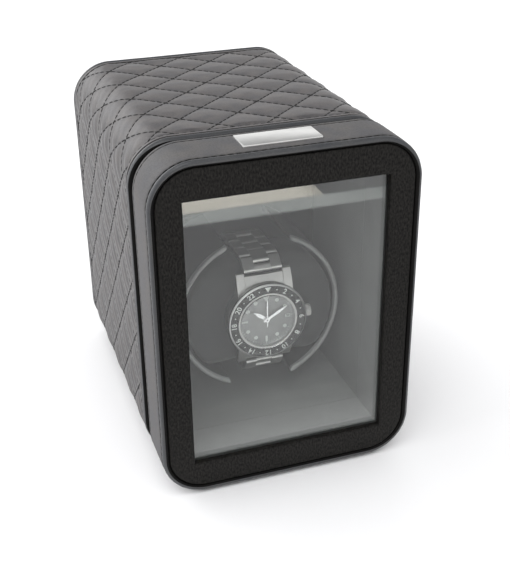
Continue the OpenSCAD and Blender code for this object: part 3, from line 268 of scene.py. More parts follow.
def clear_glass(name, tint=(0.97, 0.985, 0.98)):
    """Glass that lets lamps through, so that what lies behind it is lit."""
    made, tree, shader = new_material(name, roughness=0.0, ior=1.5, transmission=1.0)
    shader.inputs["Base Color"].default_value = tint + (1,)
    clear = add_node(tree, "ShaderNodeBsdfTransparent", {"Color": (0.9, 0.92, 0.915, 1)})
    path = add_node(tree, "ShaderNodeLightPath")
    mix = add_node(tree, "ShaderNodeMixShader", {0: path.outputs["Is Shadow Ray"]})
    tree.links.new(shader.outputs["BSDF"], mix.inputs[1])
    tree.links.new(clear.outputs["BSDF"], mix.inputs[2])
    tree.links.new(mix.outputs["Shader"], tree.nodes["Material Output"].inputs["Surface"])
    return made


# The cover, door and roll leathers take painted shade from their pieces
cover_leather = leather("cover_leather", 0.07, (1.02, 0.95, 0.965), depth=0.035, specular=0.4,
                        rough=(0.36, 0.5), reads_painted_shade=True, mottle=(0.8, 1.18), mottle_size=7)
door_leather = leather("door_leather", 0.085, (1.0, 0.97, 0.985), depth=0.035, specular=0.25,
                       rough=(0.5, 0.68), reads_painted_shade=True)
roll_leather = leather("roll_leather", 0.05, (0.95, 0.985, 1.06), depth=0.03, specular=0.45,
                       grain=0.65, rough=(0.3, 0.45), reads_painted_shade=True)
inner_leather = leather("inner_leather", 0.006, (1.0, 0.96, 0.92), depth=0.05, specular=0.05,
                        grain=0.6)
panel_leather = leather("panel_leather", 0.009, (1.0, 0.95, 0.88), depth=0.1, specular=0.11,
                        grain=0.6, rough=(0.45, 0.68), stretch=(1, 1, 0.5), mottle=(0.1, 1.8),
                        mottle_size=0.8)
thread = moulded("thread", 0.018, rough=0.7, texture=0.2, depth=0.03, specular=0.3)
grey_suede = suede("grey_suede", 0.195, (0.98, 1.0, 0.985))
dark_suede = suede("dark_suede", 0.012, (0.95, 1.0, 1.0), sheen=0.03)
cup_plastic = moulded("cup_plastic", 0.03, (0.97, 1, 0.99), rough=0.5, depth=0.004)
rim_plastic = moulded("rim_plastic", 0.24, (0.98, 1, 0.98), rough=0.4, depth=0.004)
cushion_suede = suede("cushion_suede", 0.04, (0.96, 1.0, 1.0))
black_plastic = moulded("black_plastic", 0.012, rough=0.4)
white_plastic = moulded("white_plastic", 0.7, rough=0.35)
felt_black = suede("felt_black", 0.012, (1, 1, 1), nap=0.4)
plate_silver = metal("plate_silver", 0.82, (1, 1, 0.985), rough=0.34, brush=(0.04, 1, 1))
steel = metal("steel", 0.5, rough=0.36, brush=(1, 1, 0.05))
bright_steel = metal("bright_steel", 0.85, rough=0.25)
case_steel = metal("case_steel", 0.42, (1.0, 0.99, 0.97), rough=0.36, brush=(1, 1, 0.05))
zinc = metal("zinc", 0.6, rough=0.35)
brass = metal("brass", 0.7, (1.0, 0.78, 0.42), rough=0.25)
motor_steel = metal("motor_steel", 0.5, rough=0.3, brush=(1, 0.05, 1))
bezel_black = moulded("bezel_black", 0.012, rough=0.18, texture=0.5, depth=0.002)
dial_black = metal("dial_black", 0.22, rough=0.5)
cup_edge = moulded("cup_edge", 0.12, (0.98, 1, 0.98), rough=0.4)
luminous = moulded("luminous", 0.6, (0.97, 1, 0.97), rough=0.6)
board_green = moulded("board_green", 0.08, (0.3, 1.0, 0.4), rough=0.4)
lead_red = moulded("lead_red", 0.25, (1.0, 0.1, 0.08), rough=0.5)
window_glass = clear_glass("window_glass")
crystal_glass = clear_glass("crystal_glass", (1, 1, 1))

# The nodes that show as they come from the frame
NODE_MATERIALS = {
    inner_leather: ("body_shell", "door_frame"),
    grey_suede: ("door_lining", "compartment_lining", "door_seal"),
    dark_suede: ("back_panel",),
    felt_black: ("base_felt",),
    cup_plastic: ("rotor_cup",),
    rim_plastic: ("cup_rim",),
    window_glass: ("glass_pane",),
    steel: ("upper_door_leaf", "lower_door_leaf", "upper_body_leaf", "lower_body_leaf",
            "hinge_pins", "rotor_shaft"),
    case_steel: ("watch_case", "watch_bracelet", "watch_crown"),
    bright_steel: ("hour_hand", "minute_hand", "second_hand"),
    zinc: ("strike_plates", "catch_magnets", "door_hinge_screws", "body_hinge_screws",
           "drive_screws", "rear_screws", "shaft_clip", "gear_plate", "bridge_plate",
           "spacer_pillars"),
    brass: ("front_bush", "rear_bush"),
    motor_steel: ("gearmotor",),
    lead_red: ("motor_lead",),
    board_green: ("circuit_board",),
    white_plastic: ("drive_gear", "motor_pinion", "direction_slider"),
    black_plastic: ("feet", "rear_panel", "power_inlet", "rocker_frame", "power_rocker",
                    "selector_switch", "selector_knob", "direction_switch"),
    bezel_black: ("watch_bezel",),
    dial_black: ("watch_dial",),
    crystal_glass: ("watch_crystal",),
}
for made, names in NODE_MATERIALS.items():
    for name in names:
        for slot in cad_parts[name].material_slots:
            slot.material = made


# ---------------------------------------------------------------- building helpers


def new_piece(name, points, faces, body, finish, slot, *nodes, edge_angle=40, painted_shade=None, shade_band=None):
    """A mesh in millimetres becomes a piece that rides on a body and may stand for nodes."""
    mesh = bpy.data.meshes.new(name)
    mesh.from_pydata([Vector(p) * MM for p in points], [], faces)
    work = bmesh.new()
    work.from_mesh(mesh)
    bmesh.ops.recalc_face_normals(work, faces=work.faces)
    work.to_mesh(mesh)
    work.free()
    mesh.shade_smooth()
    mesh.set_sharp_from_angle(angle=math.radians(edge_angle))
    mesh.materials.append(finish)
    # A second, near-black finish on the listed faces, as painted shade
    if shade_band:
        mesh.materials.append(shade_band[0])
        mesh.polygons.foreach_set("material_index", shade_band[1])
    # A point attribute with the strength of the painted shade
    if painted_shade:
        layer = mesh.attributes.new("painted_shade", "FLOAT", "POINT")
        layer.data.foreach_set("value", painted_shade)
    made = bpy.data.objects.new(name, mesh)
    bpy.context.scene.collection.objects.link(made)
    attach(made, body)
    if nodes:
        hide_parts(*nodes)


def outline(w, h, r, across=6, up=8, corner=12):
    """Points (x, z) and outward directions clockwise round a rounded rectangle, from the top."""
    found = []
    flat_w, flat_h = w / 2 - r, h / 2 - r
    corners = [(flat_w, flat_h, 90), (flat_w, -flat_h, 0), (-flat_w, -flat_h, -90),
               (-flat_w, flat_h, 180)]
    counts = [up, across, up, across]
    for index, (cx, cz, start) in enumerate(corners):
        for k in range(corner + 1):
            angle = math.radians(start - 90 * k / corner)
            nx, nz = math.cos(angle), math.sin(angle)
            found.append((cx + r * nx, cz + r * nz, nx, nz))
        ax, az, nx, nz = found[-1]
        bx, bz = corners[(index + 1) % 4][:2]
        bx += r * nx
        bz += r * nz
        for k in range(1, counts[index]):
            t = k / counts[index]
            found.append((ax + (bx - ax) * t, az + (bz - az) * t, nx, nz))
    return found


def place(station, out, depth, mid_z=MID_Z):
    """A point at a station of an outline, so far out of it and so deep."""
    x, z, nx, nz = station
    return (x + nx * out, FRONT + depth, mid_z + z + nz * out)


def loop_faces(n, m):
    """The faces between n sections of m points each, closed both ways."""
    faces = []
    for i in range(n):
        after = (i + 1) % n
        for j in range(m):
            beside = (j + 1) % m
            faces.append((i * m + j, i * m + beside, after * m + beside, after * m + j))
    return faces


def add_tube(points, faces, centres, ups, radii, sides=6):
    """A closed tube along centres is added to a list of points and faces."""
    base = len(points)
    last = len(centres) - 1
    for k, centre in enumerate(centres):
        along = (centres[min(k + 1, last)] - centres[max(k - 1, 0)]).normalized()
        side = along.cross(ups[k]).normalized()
        up = side.cross(along)
        for j in range(sides):
            angle = 2 * math.pi * j / sides
            points.append(centre + (side * math.cos(angle) + up * math.sin(angle)) * radii[k])
    for k in range(last):
        for j in range(sides):
            a, b = base + k * sides + j, base + k * sides + (j + 1) % sides
            faces.append((a, b, b + sides, a + sides))
    faces.append(tuple(range(base, base + sides)))
    faces.append(tuple(range(base + last * sides, base + (last + 1) * sides)))


STITCH_LEN = 2.9
STITCH_GAP = 0.9
STITCH_R = 0.28
# Along a stitch: how far on, how high and how thick, in stitch radii
STITCH_SHAPE = ((0, -1.0, 0.6), (0.14, -0.1, 0.95), (0.5, 0.1, 1), (0.86, -0.1, 0.95),
                (1, -1.0, 0.6))


def add_stitches(points, faces, curve, length):
    """Stitches along curve(distance), which gives a point and the way out of the leather."""
    count = max(1, round(length / (STITCH_LEN + STITCH_GAP)))
    pitch = length / count
    for k in range(count):
        start = k * pitch + STITCH_GAP / 2
        centres, ups = [], []
        for along, lift, thick in STITCH_SHAPE:
            point, normal = curve(start + (pitch - STITCH_GAP) * along)
            centres.append(point + normal * lift * STITCH_R)
            ups.append(normal)
        add_tube(points, faces, centres, ups, [STITCH_R * shape[2] for shape in STITCH_SHAPE])


def loop_curve(w, h, r, out, depth):
    """A curve clockwise round a rounded rectangle, from the left end of its top, and its length."""
    flat_w, flat_h, bend = w - 2 * r, h - 2 * r, math.pi * r / 2
    pieces = [(flat_w, 0), (bend, 1), (flat_h, 0), (bend, 1)] * 2
    total = sum(length for length, turns in pieces)

    def curve(distance):
        x, z, angle = -flat_w / 2, h / 2, 0.0
        left = distance % total
        for length, turns in pieces:
            step = min(left, length)
            if turns:
                cx, cz = x - r * math.sin(angle), z - r * math.cos(angle)
                angle += step / r
                x, z = cx + r * math.sin(angle), cz + r * math.cos(angle)
            else:
                x += step * math.cos(angle)
                z -= step * math.sin(angle)
            left -= step
            if left <= 0:
                break
        normal = Vector((math.sin(angle), 0, math.cos(angle)))
        return Vector((x, FRONT + depth, MID_Z + z)) + normal * out, normal

    return curve, total


# ---------------------------------------------------------------- quilted cover


def smooth(value, low, high):
    """From 0 at low to 1 at high, level at both ends."""
    t = min(max((value - low) / (high - low), 0), 1)
    return t * t * (3 - 2 * t)


HEM = 2.3
HEM_W = 0.5
HEM_DEPTH = 0.15
HEM_SLOPE = 3.5
FLAP_DROP = 0.55
SEAM_W = 0.45
SEAM_REACH = 1 / math.hypot(1 / QUILT_HALF_W, 1 / QUILT_HALF_D)
PILLOW = 0.9
PILLOW_POWER = 0.65
PLEAT = 0.58
PLEAT_POWER = 0.38
# How much shade is painted in the pleats' valleys
PLEAT_SHADE = 0.62
CREASE = 0.12
CREASE_SIZE = 7


def seam_depth(*families):
    """1 on a seam, 0 away from it. A family is told by how far across its seams a place lies."""
    nearest = min(abs(value - 2 * round(value / 2)) for value in families) * SEAM_REACH
    return math.exp(-(nearest / SEAM_W) ** 2)


def quilt_out(s, depth):
    """How far the leather lies from the middle of the bend, and how much shade is painted there: in
    seams, along hems and in pleat valleys.
    """
    a, b = (s - QUILT_SHIFT) / QUILT_HALF_W, (depth - QUILT_ROW) / QUILT_HALF_D
    rise, fall = a + b, a - b
    swell = abs(math.sin(math.pi / 2 * rise) * math.sin(math.pi / 2 * fall))
    pillow = swell ** PILLOW_POWER
    edge = min(depth - COVER_FRONT, COVER_BACK - depth)
    inside = smooth(edge, HEM, HEM + HEM_SLOPE)
    groove = seam_depth(rise, fall) * smooth(edge, HEM - 0.3, HEM + 0.3)
    on_side = smooth(abs(s), QUILT_FLAT, QUILT_FLAT + QUILT_BEND)
    valley = (0.5 - 0.5 * math.cos(3 * math.pi * fall)) * on_side * inside
    pleat = -PLEAT * valley * swell ** PLEAT_POWER
    crease = noise.noise(Vector((s, depth * 1.3, 0)) / CREASE_SIZE) * CREASE * pillow
    hem = math.exp(-((edge - HEM) / HEM_W) ** 2)
    flap = (PILLOW - FLAP_DROP) * (1 - smooth(edge, HEM - 0.4, HEM + 0.4))
    padded = inside * (PILLOW * pillow + pleat + crease)
    out = CORNER_R - PILLOW + padded + flap - HEM_DEPTH * hem
    return out, max(groove, hem, PLEAT_SHADE * valley)


def quilt_point(s, depth, out):
    """The point at a length s round the body, and the way out of the leather there."""
    a, side = abs(s), -1 if s < 0 else 1
    if a < QUILT_FLAT:
        lean = 0
    elif a < QUILT_FLAT + QUILT_BEND:
        lean = (a - QUILT_FLAT) / QUILT_BEND * math.pi / 2
    elif a < QUILT_FLAT + QUILT_BEND + QUILT_SIDE:
        lean = math.pi / 2
    else:
        lean = math.pi / 2 + (a - QUILT_FLAT - QUILT_BEND - QUILT_SIDE) / QUILT_BEND * math.pi / 2
    anchor_z = QUILT_SIDE / 2 - min(max(a - QUILT_FLAT - QUILT_BEND, 0), QUILT_SIDE)
    normal = Vector((side * math.sin(lean), 0, math.cos(lean)))
    anchor = Vector((side * min(a, QUILT_FLAT), FRONT + depth, MID_Z + anchor_z))
    return anchor + normal * out, normal


def marks(low, high, start, step):
    """Places a step apart that fall on start, with the ends low and high."""
    first, last = math.ceil((low - start) / step + 0.2), math.floor((high - start) / step - 0.2)
    return [low] + [start + k * step for k in range(first, last + 1)] + [high]


QUILT_FINE = 20


def quilted_cover():
    """The padded cover: its outer skin, an even inside and the edges that close it."""
    columns = marks(-QUILT_END, QUILT_END, QUILT_SHIFT, QUILT_HALF_W / QUILT_FINE)
    hems = [edge + step for edge in (COVER_FRONT + HEM, COVER_BACK - HEM)
            for step in (-HEM_W, 0, HEM_W)]
    rows = marks(COVER_FRONT, COVER_BACK, QUILT_ROW, QUILT_HALF_D / QUILT_FINE)
    rows = sorted(hems + [row for row in rows if min(abs(row - hem) for hem in hems) > 0.3])
    n, m = len(columns), len(rows)
    outs = [quilt_out(s, y) for y in rows for s in columns]
    points = [quilt_point(columns[k % n], rows[k // n], out)[0]
              for k, (out, shaded) in enumerate(outs)]
    inner = CORNER_R - COVER_T + 0.1
    points += [quilt_point(s, y, inner)[0] for y in (rows[0], rows[-1]) for s in columns]
    # The skin takes painted shade in its seams, along its hems and in the pleats' valleys; the
    # inside takes none
    painted_shade = [shaded for out, shaded in outs] + [0.0] * (2 * n)
    base = n * m
    faces = []
    for j in range(m - 1):
        for i in range(n - 1):
            p = j * n + i
            faces.append((p, p + 1, p + n + 1, p + n))
    for i in range(n - 1):
        faces.append((base + i, base + n + i, base + n + i + 1, base + i + 1))
        faces.append((i, base + i, base + i + 1, i + 1))
        p = (m - 1) * n + i
        faces.append((p, p + 1, base + n + i + 1, base + n + i))
    faces.append([j * n for j in range(m)] + [base + n, base])
    faces.append([base + n - 1, base + 2 * n - 1] + [j * n + n - 1 for j in reversed(range(m))])
    new_piece("quilted_leather", points, faces, "box", cover_leather, "body_leather",
              "quilted_cover", edge_angle=60, painted_shade=painted_shade)


STITCH_LIFT = 0.1
STITCH_SUNK = 0.15


def quilt_stitches():
    """The stitches of both families of seams and of the two hems."""
    points, faces = [], []
    first = (COVER_FRONT + HEM - QUILT_ROW) / QUILT_HALF_D
    last = (COVER_BACK - HEM - QUILT_ROW) / QUILT_HALF_D
    unit = math.hypot(QUILT_HALF_W, QUILT_HALF_D)
    reach = math.ceil((QUILT_END / QUILT_HALF_W + last - first) / 2) + 1
    limit = QUILT_END - 1
    for direction in (-1, 1):
        for k in range(-reach, reach + 1):
            ends = sorted(((edge - QUILT_SHIFT) / QUILT_HALF_W - 2 * k) * direction
                          for edge in (-limit, limit))
            low, high = max(first, ends[0]), min(last, ends[1])
            if high - low < 0.2:
                continue

            def seam(distance, low=low, high=high, k=k, direction=direction):
                b = min(low + distance / unit, high)
                s = QUILT_SHIFT + QUILT_HALF_W * (2 * k + direction * b)
                depth = QUILT_ROW + b * QUILT_HALF_D
                lift = STITCH_LIFT
                if direction > 0:
                    on_side = smooth(abs(s), QUILT_FLAT + QUILT_BEND / 2, QUILT_FLAT + QUILT_BEND)
                    lift -= STITCH_SUNK * on_side
                return quilt_point(s, depth, quilt_out(s, depth)[0] + lift)
            add_stitches(points, faces, seam, (high - low) * unit)
    for depth in (COVER_FRONT + HEM, COVER_BACK - HEM):
        def hem(distance, depth=depth):
            s = distance - limit
            return quilt_point(s, depth, quilt_out(s, depth)[0] + STITCH_LIFT / 2)
        add_stitches(points, faces, hem, 2 * limit)
    new_piece("quilt_stitches", points, faces, "box", thread, "body_leather")


# ---------------------------------------------------------------- door


SKIN_HEM = 2.9


def door_skin():
    """The leather round the door, creased where it meets the piping and stitched behind."""
    d = DOOR_D
    front = 2 * PIPING_R
    hem = d - SKIN_HEM
    profile = [
        (-SKIN_T, front - 0.5), (-0.85, front - 0.3), (-0.75, front + 0.1), (-0.4, front + 0.45),
        (-0.12, front + 0.8), (0, front + 1.5), (0.05, front + 4), (0.08, d / 2), (0.05, hem - 2),
        (0, hem - 0.7), (-0.16, hem - 0.25), (-0.3, hem), (-0.16, hem + 0.25), (0, hem + 0.7),
        (0, d - 1.4), (-0.25, d - 0.5), (-0.8, d), (-SKIN_T, d),
    ]
    # Painted shade in the crease beside the piping and in the hem's crease, set per profile point
    shaded = {1: 1.0, 2: 1.0, 3: 0.5, 10: 0.5, 11: 1.0, 12: 0.5}
    n = len(profile)
    stations = outline(BOX_W, BOX_H, CORNER_R, 14, 20, 16)
    points = [place(station, *p) for station in stations for p in profile]
    painted_shade = [shaded.get(j, 0.0) for j in range(n)] * len(stations)
    new_piece("door_skin", points, loop_faces(len(stations), n), "door", door_leather,
              "body_leather", "door_leather", painted_shade=painted_shade)
    points, faces = [], []
    for depth, out in ((front + 0.3, -0.4), (hem, -0.2)):
        curve, length = loop_curve(BOX_W, BOX_H, CORNER_R, out, depth)
        add_stitches(points, faces, curve, length)
    new_piece("door_stitches", points, faces, "door", thread, "body_leather")


PANEL_T = 1.2
WINDOW_CORNER = 0.4


def face_panel():
    """The black panel: soft at its outer edge, and turned in at the window as far as the glass."""
    low, high = node_box("front_panel")
    top = low.y - FRONT
    back = top + PANEL_T
    counts = {"across": 14, "up": 20, "corner": 14}
    outer = outline(high.x - low.x, high.z - low.z, CORNER_R - 2 * PIPING_R, **counts)
    inner = outline(WINDOW_W, WINDOW_H, WINDOW_CORNER, **counts)
    outer_profile = [(-0.3, back), (-0.4, back - 0.2), (-0.4, top + 0.45), (-0.52, top + 0.16),
                     (-0.8, top + 0.03), (-1.2, top)]
    inner_profile = [(1.3, top), (0.7, top + 0.05), (0.22, top + 0.25), (0, top + 0.8),
                     (0, GLASS_FRONT), (1.1, GLASS_FRONT), (1.1, back)]
    points = []
    for at_edge, at_window in zip(outer, inner):
        points += [place(at_edge, *p) for p in outer_profile]
        start, stop = points[-1], place(at_window, *inner_profile[0], mid_z=WINDOW_Z)
        for t in (0.25, 0.5, 0.75):
            points.append(tuple(a + (b - a) * t for a, b in zip(start, stop)))
        points += [place(at_window, *p, mid_z=WINDOW_Z) for p in inner_profile]
    faces = loop_faces(len(outer), len(points) // len(outer))
    new_piece("face_panel", points, faces, "door", panel_leather, "panel_leather", "front_panel")


PLATE_TRIM = 1.3
PLATE_CORNER = 0.5
PLATE_EASE = 0.25


def lid_plate():
    """The blank plate on the lid, with rounded corners and eased edges. Its front edge lies
    further back than the node's."""
    low, high = node_box("nameplate")
    w, d = high.x - low.x, high.y - low.y - PLATE_TRIM
    mid_y = high.y - d / 2
    stations = outline(w, d, PLATE_CORNER, 2, 2, 5)
    rings = [(0, low.z), (0, high.z - PLATE_EASE), (-0.3 * PLATE_EASE, high.z - 0.3 * PLATE_EASE),
             (-PLATE_EASE, high.z)]
    n, last = len(stations), len(rings) - 1
    points = [(x + nx * out, mid_y + y + ny * out, z)
              for out, z in rings for x, y, nx, ny in stations]
    faces = loop_faces(last + 1, n)[:last * n]
    faces += [tuple(range(n)), tuple(range(last * n, (last + 1) * n))]
    new_piece("lid_plate", points, faces, "door", plate_silver, "plate", "nameplate", edge_angle=30)


ROLL_SIDES = 24
ROLL_CREASE = 0.035
ROLL_SAG = 0.03
SHADE_REACH = 65


def leather_roll(name, size, radius, depth, body, node, shade_band, lift=0, shade=0.0):
    """A rolled edge with small creases. Between two angles of its round, in degrees from the way
    out towards the front, a near-black band is painted as shade where the edge lies in shadow. The
    band starts lift later along the top and the bottom, and the leather beside it takes painted
    shade of strength shade."""
    stations = outline(*size, 90, 110, 34)
    first, last = (round(angle / 360 * ROLL_SIDES) for angle in shade_band)
    points, painted_shade = [], []
    for station in stations:
        x, z, nx, nz = station
        # The creases are deepest where the roll goes round a corner
        turned = 0.35 + 0.65 * smooth(min(abs(nx), abs(nz)), 0.02, 0.3)
        start = shade_band[0] + lift * nz ** 2
        for j in range(ROLL_SIDES):
            if j <= first:
                angle = math.radians(start * j / first)
            else:
                angle = math.radians(start + (360 - start) * (j - first) / (ROLL_SIDES - first))
            wave = noise.noise(Vector((x / 2.2, math.cos(angle) * 0.8, z / 2.2)))
            slow = noise.noise(Vector((x / 14, 5, z / 14)))
            reach = radius * (1 + turned * ROLL_CREASE * (wave - 1) + ROLL_SAG * (slow - 1))
            points.append(place(station, -radius + reach * math.cos(angle),
                                depth + radius - reach * math.sin(angle)))
            # Painted shade that deepens towards the black band
            near = smooth(math.degrees(angle), start - SHADE_REACH, start) if j <= first else 0.0
            painted_shade.append(shade * near)
    # These faces take the near-black leather: painted shade
    shade_band_faces = [int(first <= j < last) for j in range(ROLL_SIDES)] * len(stations)
    new_piece(name, points, loop_faces(len(stations), ROLL_SIDES), body, roll_leather,
              "body_leather", node, edge_angle=80, shade_band=(inner_leather, shade_band_faces), painted_shade=painted_shade)


quilted_cover()
quilt_stitches()
door_skin()
face_panel()
lid_plate()
DOOR_SIZE = (BOX_W, BOX_H, CORNER_R)
BODY_SIZE = (ROLL_W, ROLL_H, CORNER_R - 0.2)
# Each bead's black band and the darkening beside it are painted shade
leather_roll("door_bead", DOOR_SIZE, PIPING_R, 0, "door", "door_piping", (92, 250), 22, 0.5)
leather_roll("front_bead", BODY_SIZE, ROLL_R, ROLL_FRONT, "box", "front_roll", (36, 200), 26)
leather_roll("rear_bead", BODY_SIZE, ROLL_R, REAR_ROLL_FRONT, "box", "rear_roll", (170, 300))


# ---------------------------------------------------------------- cup and watch


TRIM_R = 1.2
TRIM_SWELL = 0.3
TRIM_ANGLE = 0.14
TRIM_OUT = 1.3
TRIM_DEPTH = 1.35
TRIM_STEPS = 8
NOTCH_EDGE_R = 0.7
NOTCH_EDGE_IN = 0.35
NOTCH_EDGE_STEP = 4.4


def cup_trim():
    """The thickened ends of the cup's pale rim, and the edges of its notches behind them."""
    wall_r = CUP_R - CUP_T / 2
    depth = FRONT + RIM_FRONT + TRIM_DEPTH
    start = math.asin((NOTCH_W / 2 + TRIM_OUT) / wall_r)
    up = Vector((0, 0, 1))
    ends, edges = ([], []), ([], [])
    for side in (-1, 1):
        for half in (-1, 1):
            centres, radii = [], []
            for k in range(TRIM_STEPS + 1):
                t = k / TRIM_STEPS
                angle = start + TRIM_ANGLE * (1 - t)
                centres.append(Vector((side * wall_r * math.sin(angle), depth,
                                       ROTOR_Z + half * wall_r * math.cos(angle))))
                swell = smooth(t, 0.2, 0.9) * (1 if k < TRIM_STEPS else 0.65)
                radii.append(TRIM_R + TRIM_SWELL * swell)
            add_tube(*ends, centres, [up] * len(centres), radii, 14)
            corner = centres[-1]
            centres = [corner + Vector((-side * NOTCH_EDGE_IN, 1 + NOTCH_EDGE_STEP * k, 0))
                       for k in range(10)]
            count = len(centres)
            add_tube(*edges, centres, [up] * count, [NOTCH_EDGE_R] * count, 10)
    new_piece("rim_ends", *ends, "rotor", rim_plastic, "cup_rim")
    new_piece("notch_edges", *edges, "rotor", cup_edge, "cup_rim")


def add_plate(points, faces, outline_points, depth, thick):
    """A flat piece with an outline of (x, z) about the watch's axis, from depth to the front."""
    base, n = len(points), len(outline_points)
    for level in (depth, depth - thick):
        points += [(x, FRONT + level, WATCH_Z + z) for x, z in outline_points]
    faces.append(tuple(range(base, base + n)))
    faces.append(tuple(range(base + n, base + 2 * n)))
    for k in range(n):
        faces.append((base + k, base + (k + 1) % n, base + n + (k + 1) % n, base + n + k))


def turned_about(shape, clock):
    """An outline of (x, z) turned clockwise by an angle in degrees."""
    c, s = math.cos(math.radians(clock)), math.sin(math.radians(clock))
    return [(x * c + z * s, z * c - x * s) for x, z in shape]


def rectangle(w, h, z):
    """A rectangle that stands upright about a height z."""
    return [(-w / 2, z - h / 2), (w / 2, z - h / 2), (w / 2, z + h / 2), (-w / 2, z + h / 2)]


def triangle(w, h, z):
    """A triangle about a height z, with its point down."""
    return [(-w / 2, z + h / 2), (w / 2, z + h / 2), (0, z - h / 2)]


DISC_SIDES = 16


def disc(r, z):
    """A round about a height z."""
    angles = [2 * math.pi * k / DISC_SIDES for k in range(DISC_SIDES)]
    return [(r * math.sin(angle), z + r * math.cos(angle)) for angle in angles]


FIGURE_SIZE = 1.4
FIGURE_BOLD = 0.07


def add_number(points, faces, word, height, clock, radius, depth, upright=False):
    """Figures of the plain built-in face, their feet towards the watch's axis or upright."""
    curve = bpy.data.curves.new("figures", "FONT")
    curve.body = word
    curve.size = height * MM * FIGURE_SIZE
    curve.align_x = "CENTER"
    curve.align_y = "CENTER"
    curve.resolution_u = 3
    curve.offset = FIGURE_BOLD * MM
    made = bpy.data.objects.new("figures", curve)
    bpy.context.scene.collection.objects.link(made)
    graph = bpy.context.evaluated_depsgraph_get()
    mesh = bpy.data.meshes.new_from_object(made.evaluated_get(graph))
    base = len(points)
    turn = 0 if upright else clock
    c, s = math.cos(math.radians(clock)), math.sin(math.radians(clock))
    for vertex in mesh.vertices:
        (x, z), = turned_about([(vertex.co.x / MM, vertex.co.y / MM)], turn)
        points.append((x + radius * s, FRONT + depth, WATCH_Z + z + radius * c))
    faces += [tuple(base + v for v in polygon.vertices) for polygon in mesh.polygons]
    bpy.data.objects.remove(made)
    bpy.data.meshes.remove(mesh)
    bpy.data.curves.remove(curve)


TOOTH_DEPTH = 0.12
TOOTH_REACH = 0.3


def turned_ring(name, profile, body, finish, slot, count=120, teeth=0):
    """A profile of (radius, depth) turned about the watch's axis, toothed on its outer points."""
    points = []
    rim = max(r for r, depth in profile)
    for i in range(count):
        angle = 2 * math.pi * i / count
        bite = TOOTH_DEPTH * (0.5 + 0.5 * math.cos(angle * teeth)) if teeth else 0
        for r, depth in profile:
            reach = r - bite if r > rim - TOOTH_REACH else r
            points.append((reach * math.sin(angle), FRONT + depth,
                           WATCH_Z + reach * math.cos(angle)))
    new_piece(name, points, loop_faces(count, len(profile)), body, finish, slot, edge_angle=35)


BEZEL_RING = 17.85
MARK_T = 0.2
MARK_RING = 11.4
MARK_LEN = 3.3


def watch_face():
    """The marks of the watch: a ring of twenty-four hours, a pale flange and a plain dial."""
    top = BEZEL_FRONT
    edge = [(19.75, top + 0.35), (19.95, top + 0.02), (20.3, top + 0.1), (BEZEL_R, top + 0.5),
            (BEZEL_R, top + 1.15), (20.4, top + 1.45), (19.75, top + 1.45)]
    turned_ring("bezel_edge", edge, "bezel", steel, "watch_steel", 480, 120)
    insert = [(15.75, top + 0.02), (16.0, top - 0.05), (19.7, top + 0.04), (19.7, top + 0.6),
              (15.75, top + 0.6)]
    turned_ring("bezel_insert", insert, "bezel", bezel_black, "bezel")
    points, faces = [], []
    level = top - 0.01
    add_plate(points, faces, triangle(3.4, 2.8, 17.9), level, 0.06)
    for hour in range(2, 24, 2):
        add_number(points, faces, str(hour), 2.75, hour * 15, BEZEL_RING, level - 0.05)
    for hour in range(1, 24, 2):
        dot = turned_about(disc(0.36, BEZEL_RING), hour * 15)
        add_plate(points, faces, dot, level, 0.06)
    new_piece("bezel_marks", points, faces, "bezel", luminous, "hands")
    flange = [(15.65, top + 0.1), (15.68, top + 3.3), (DIAL_R - 0.2, DIAL_FRONT - 0.02),
              (DIAL_R - 0.15, DIAL_FRONT - 0.35), (15.35, top + 0.5)]
    turned_ring("flange", flange, "watch_cushion", bright_steel, "watch_steel")
    points, faces = [], []
    for clock in range(0, 360, 6):
        line = rectangle(0.16 if clock % 30 else 0.34, 0.8, 13.7)
        add_plate(points, faces, turned_about(line, clock), DIAL_FRONT - 0.01, 0.03)
    dot = disc(1.08, MARK_RING)
    bar = rectangle(1.2, MARK_LEN, MARK_RING)
    marks_at = {0: triangle(3.8, MARK_LEN, MARK_RING)}
    marks_at.update({hour: dot for hour in (1, 2, 4, 5, 7, 8, 10, 11)})
    marks_at.update({6: bar, 9: bar, 3: rectangle(1.9, 2.6, MARK_RING)})
    level = DIAL_FRONT - MARK_T + 0.01
    for hour, shape in marks_at.items():
        add_plate(points, faces, turned_about(shape, hour * 30), level, 0.05)
    new_piece("dial_marks", points, faces, "watch_cushion", luminous, "dial")
    points, faces = [], []
    add_number(points, faces, "28", 1.3, 90, MARK_RING, level - 0.07, upright=True)
    new_piece("date", points, faces, "watch_cushion", black_plastic, "dial")


cup_trim()
watch_face()


# ---------------------------------------------------------------- cushion


PAD_INSET = 1.3
PAD_VOXEL = 0.0022
PAD_STEPS = 20
PAD_SWELL = 1.2


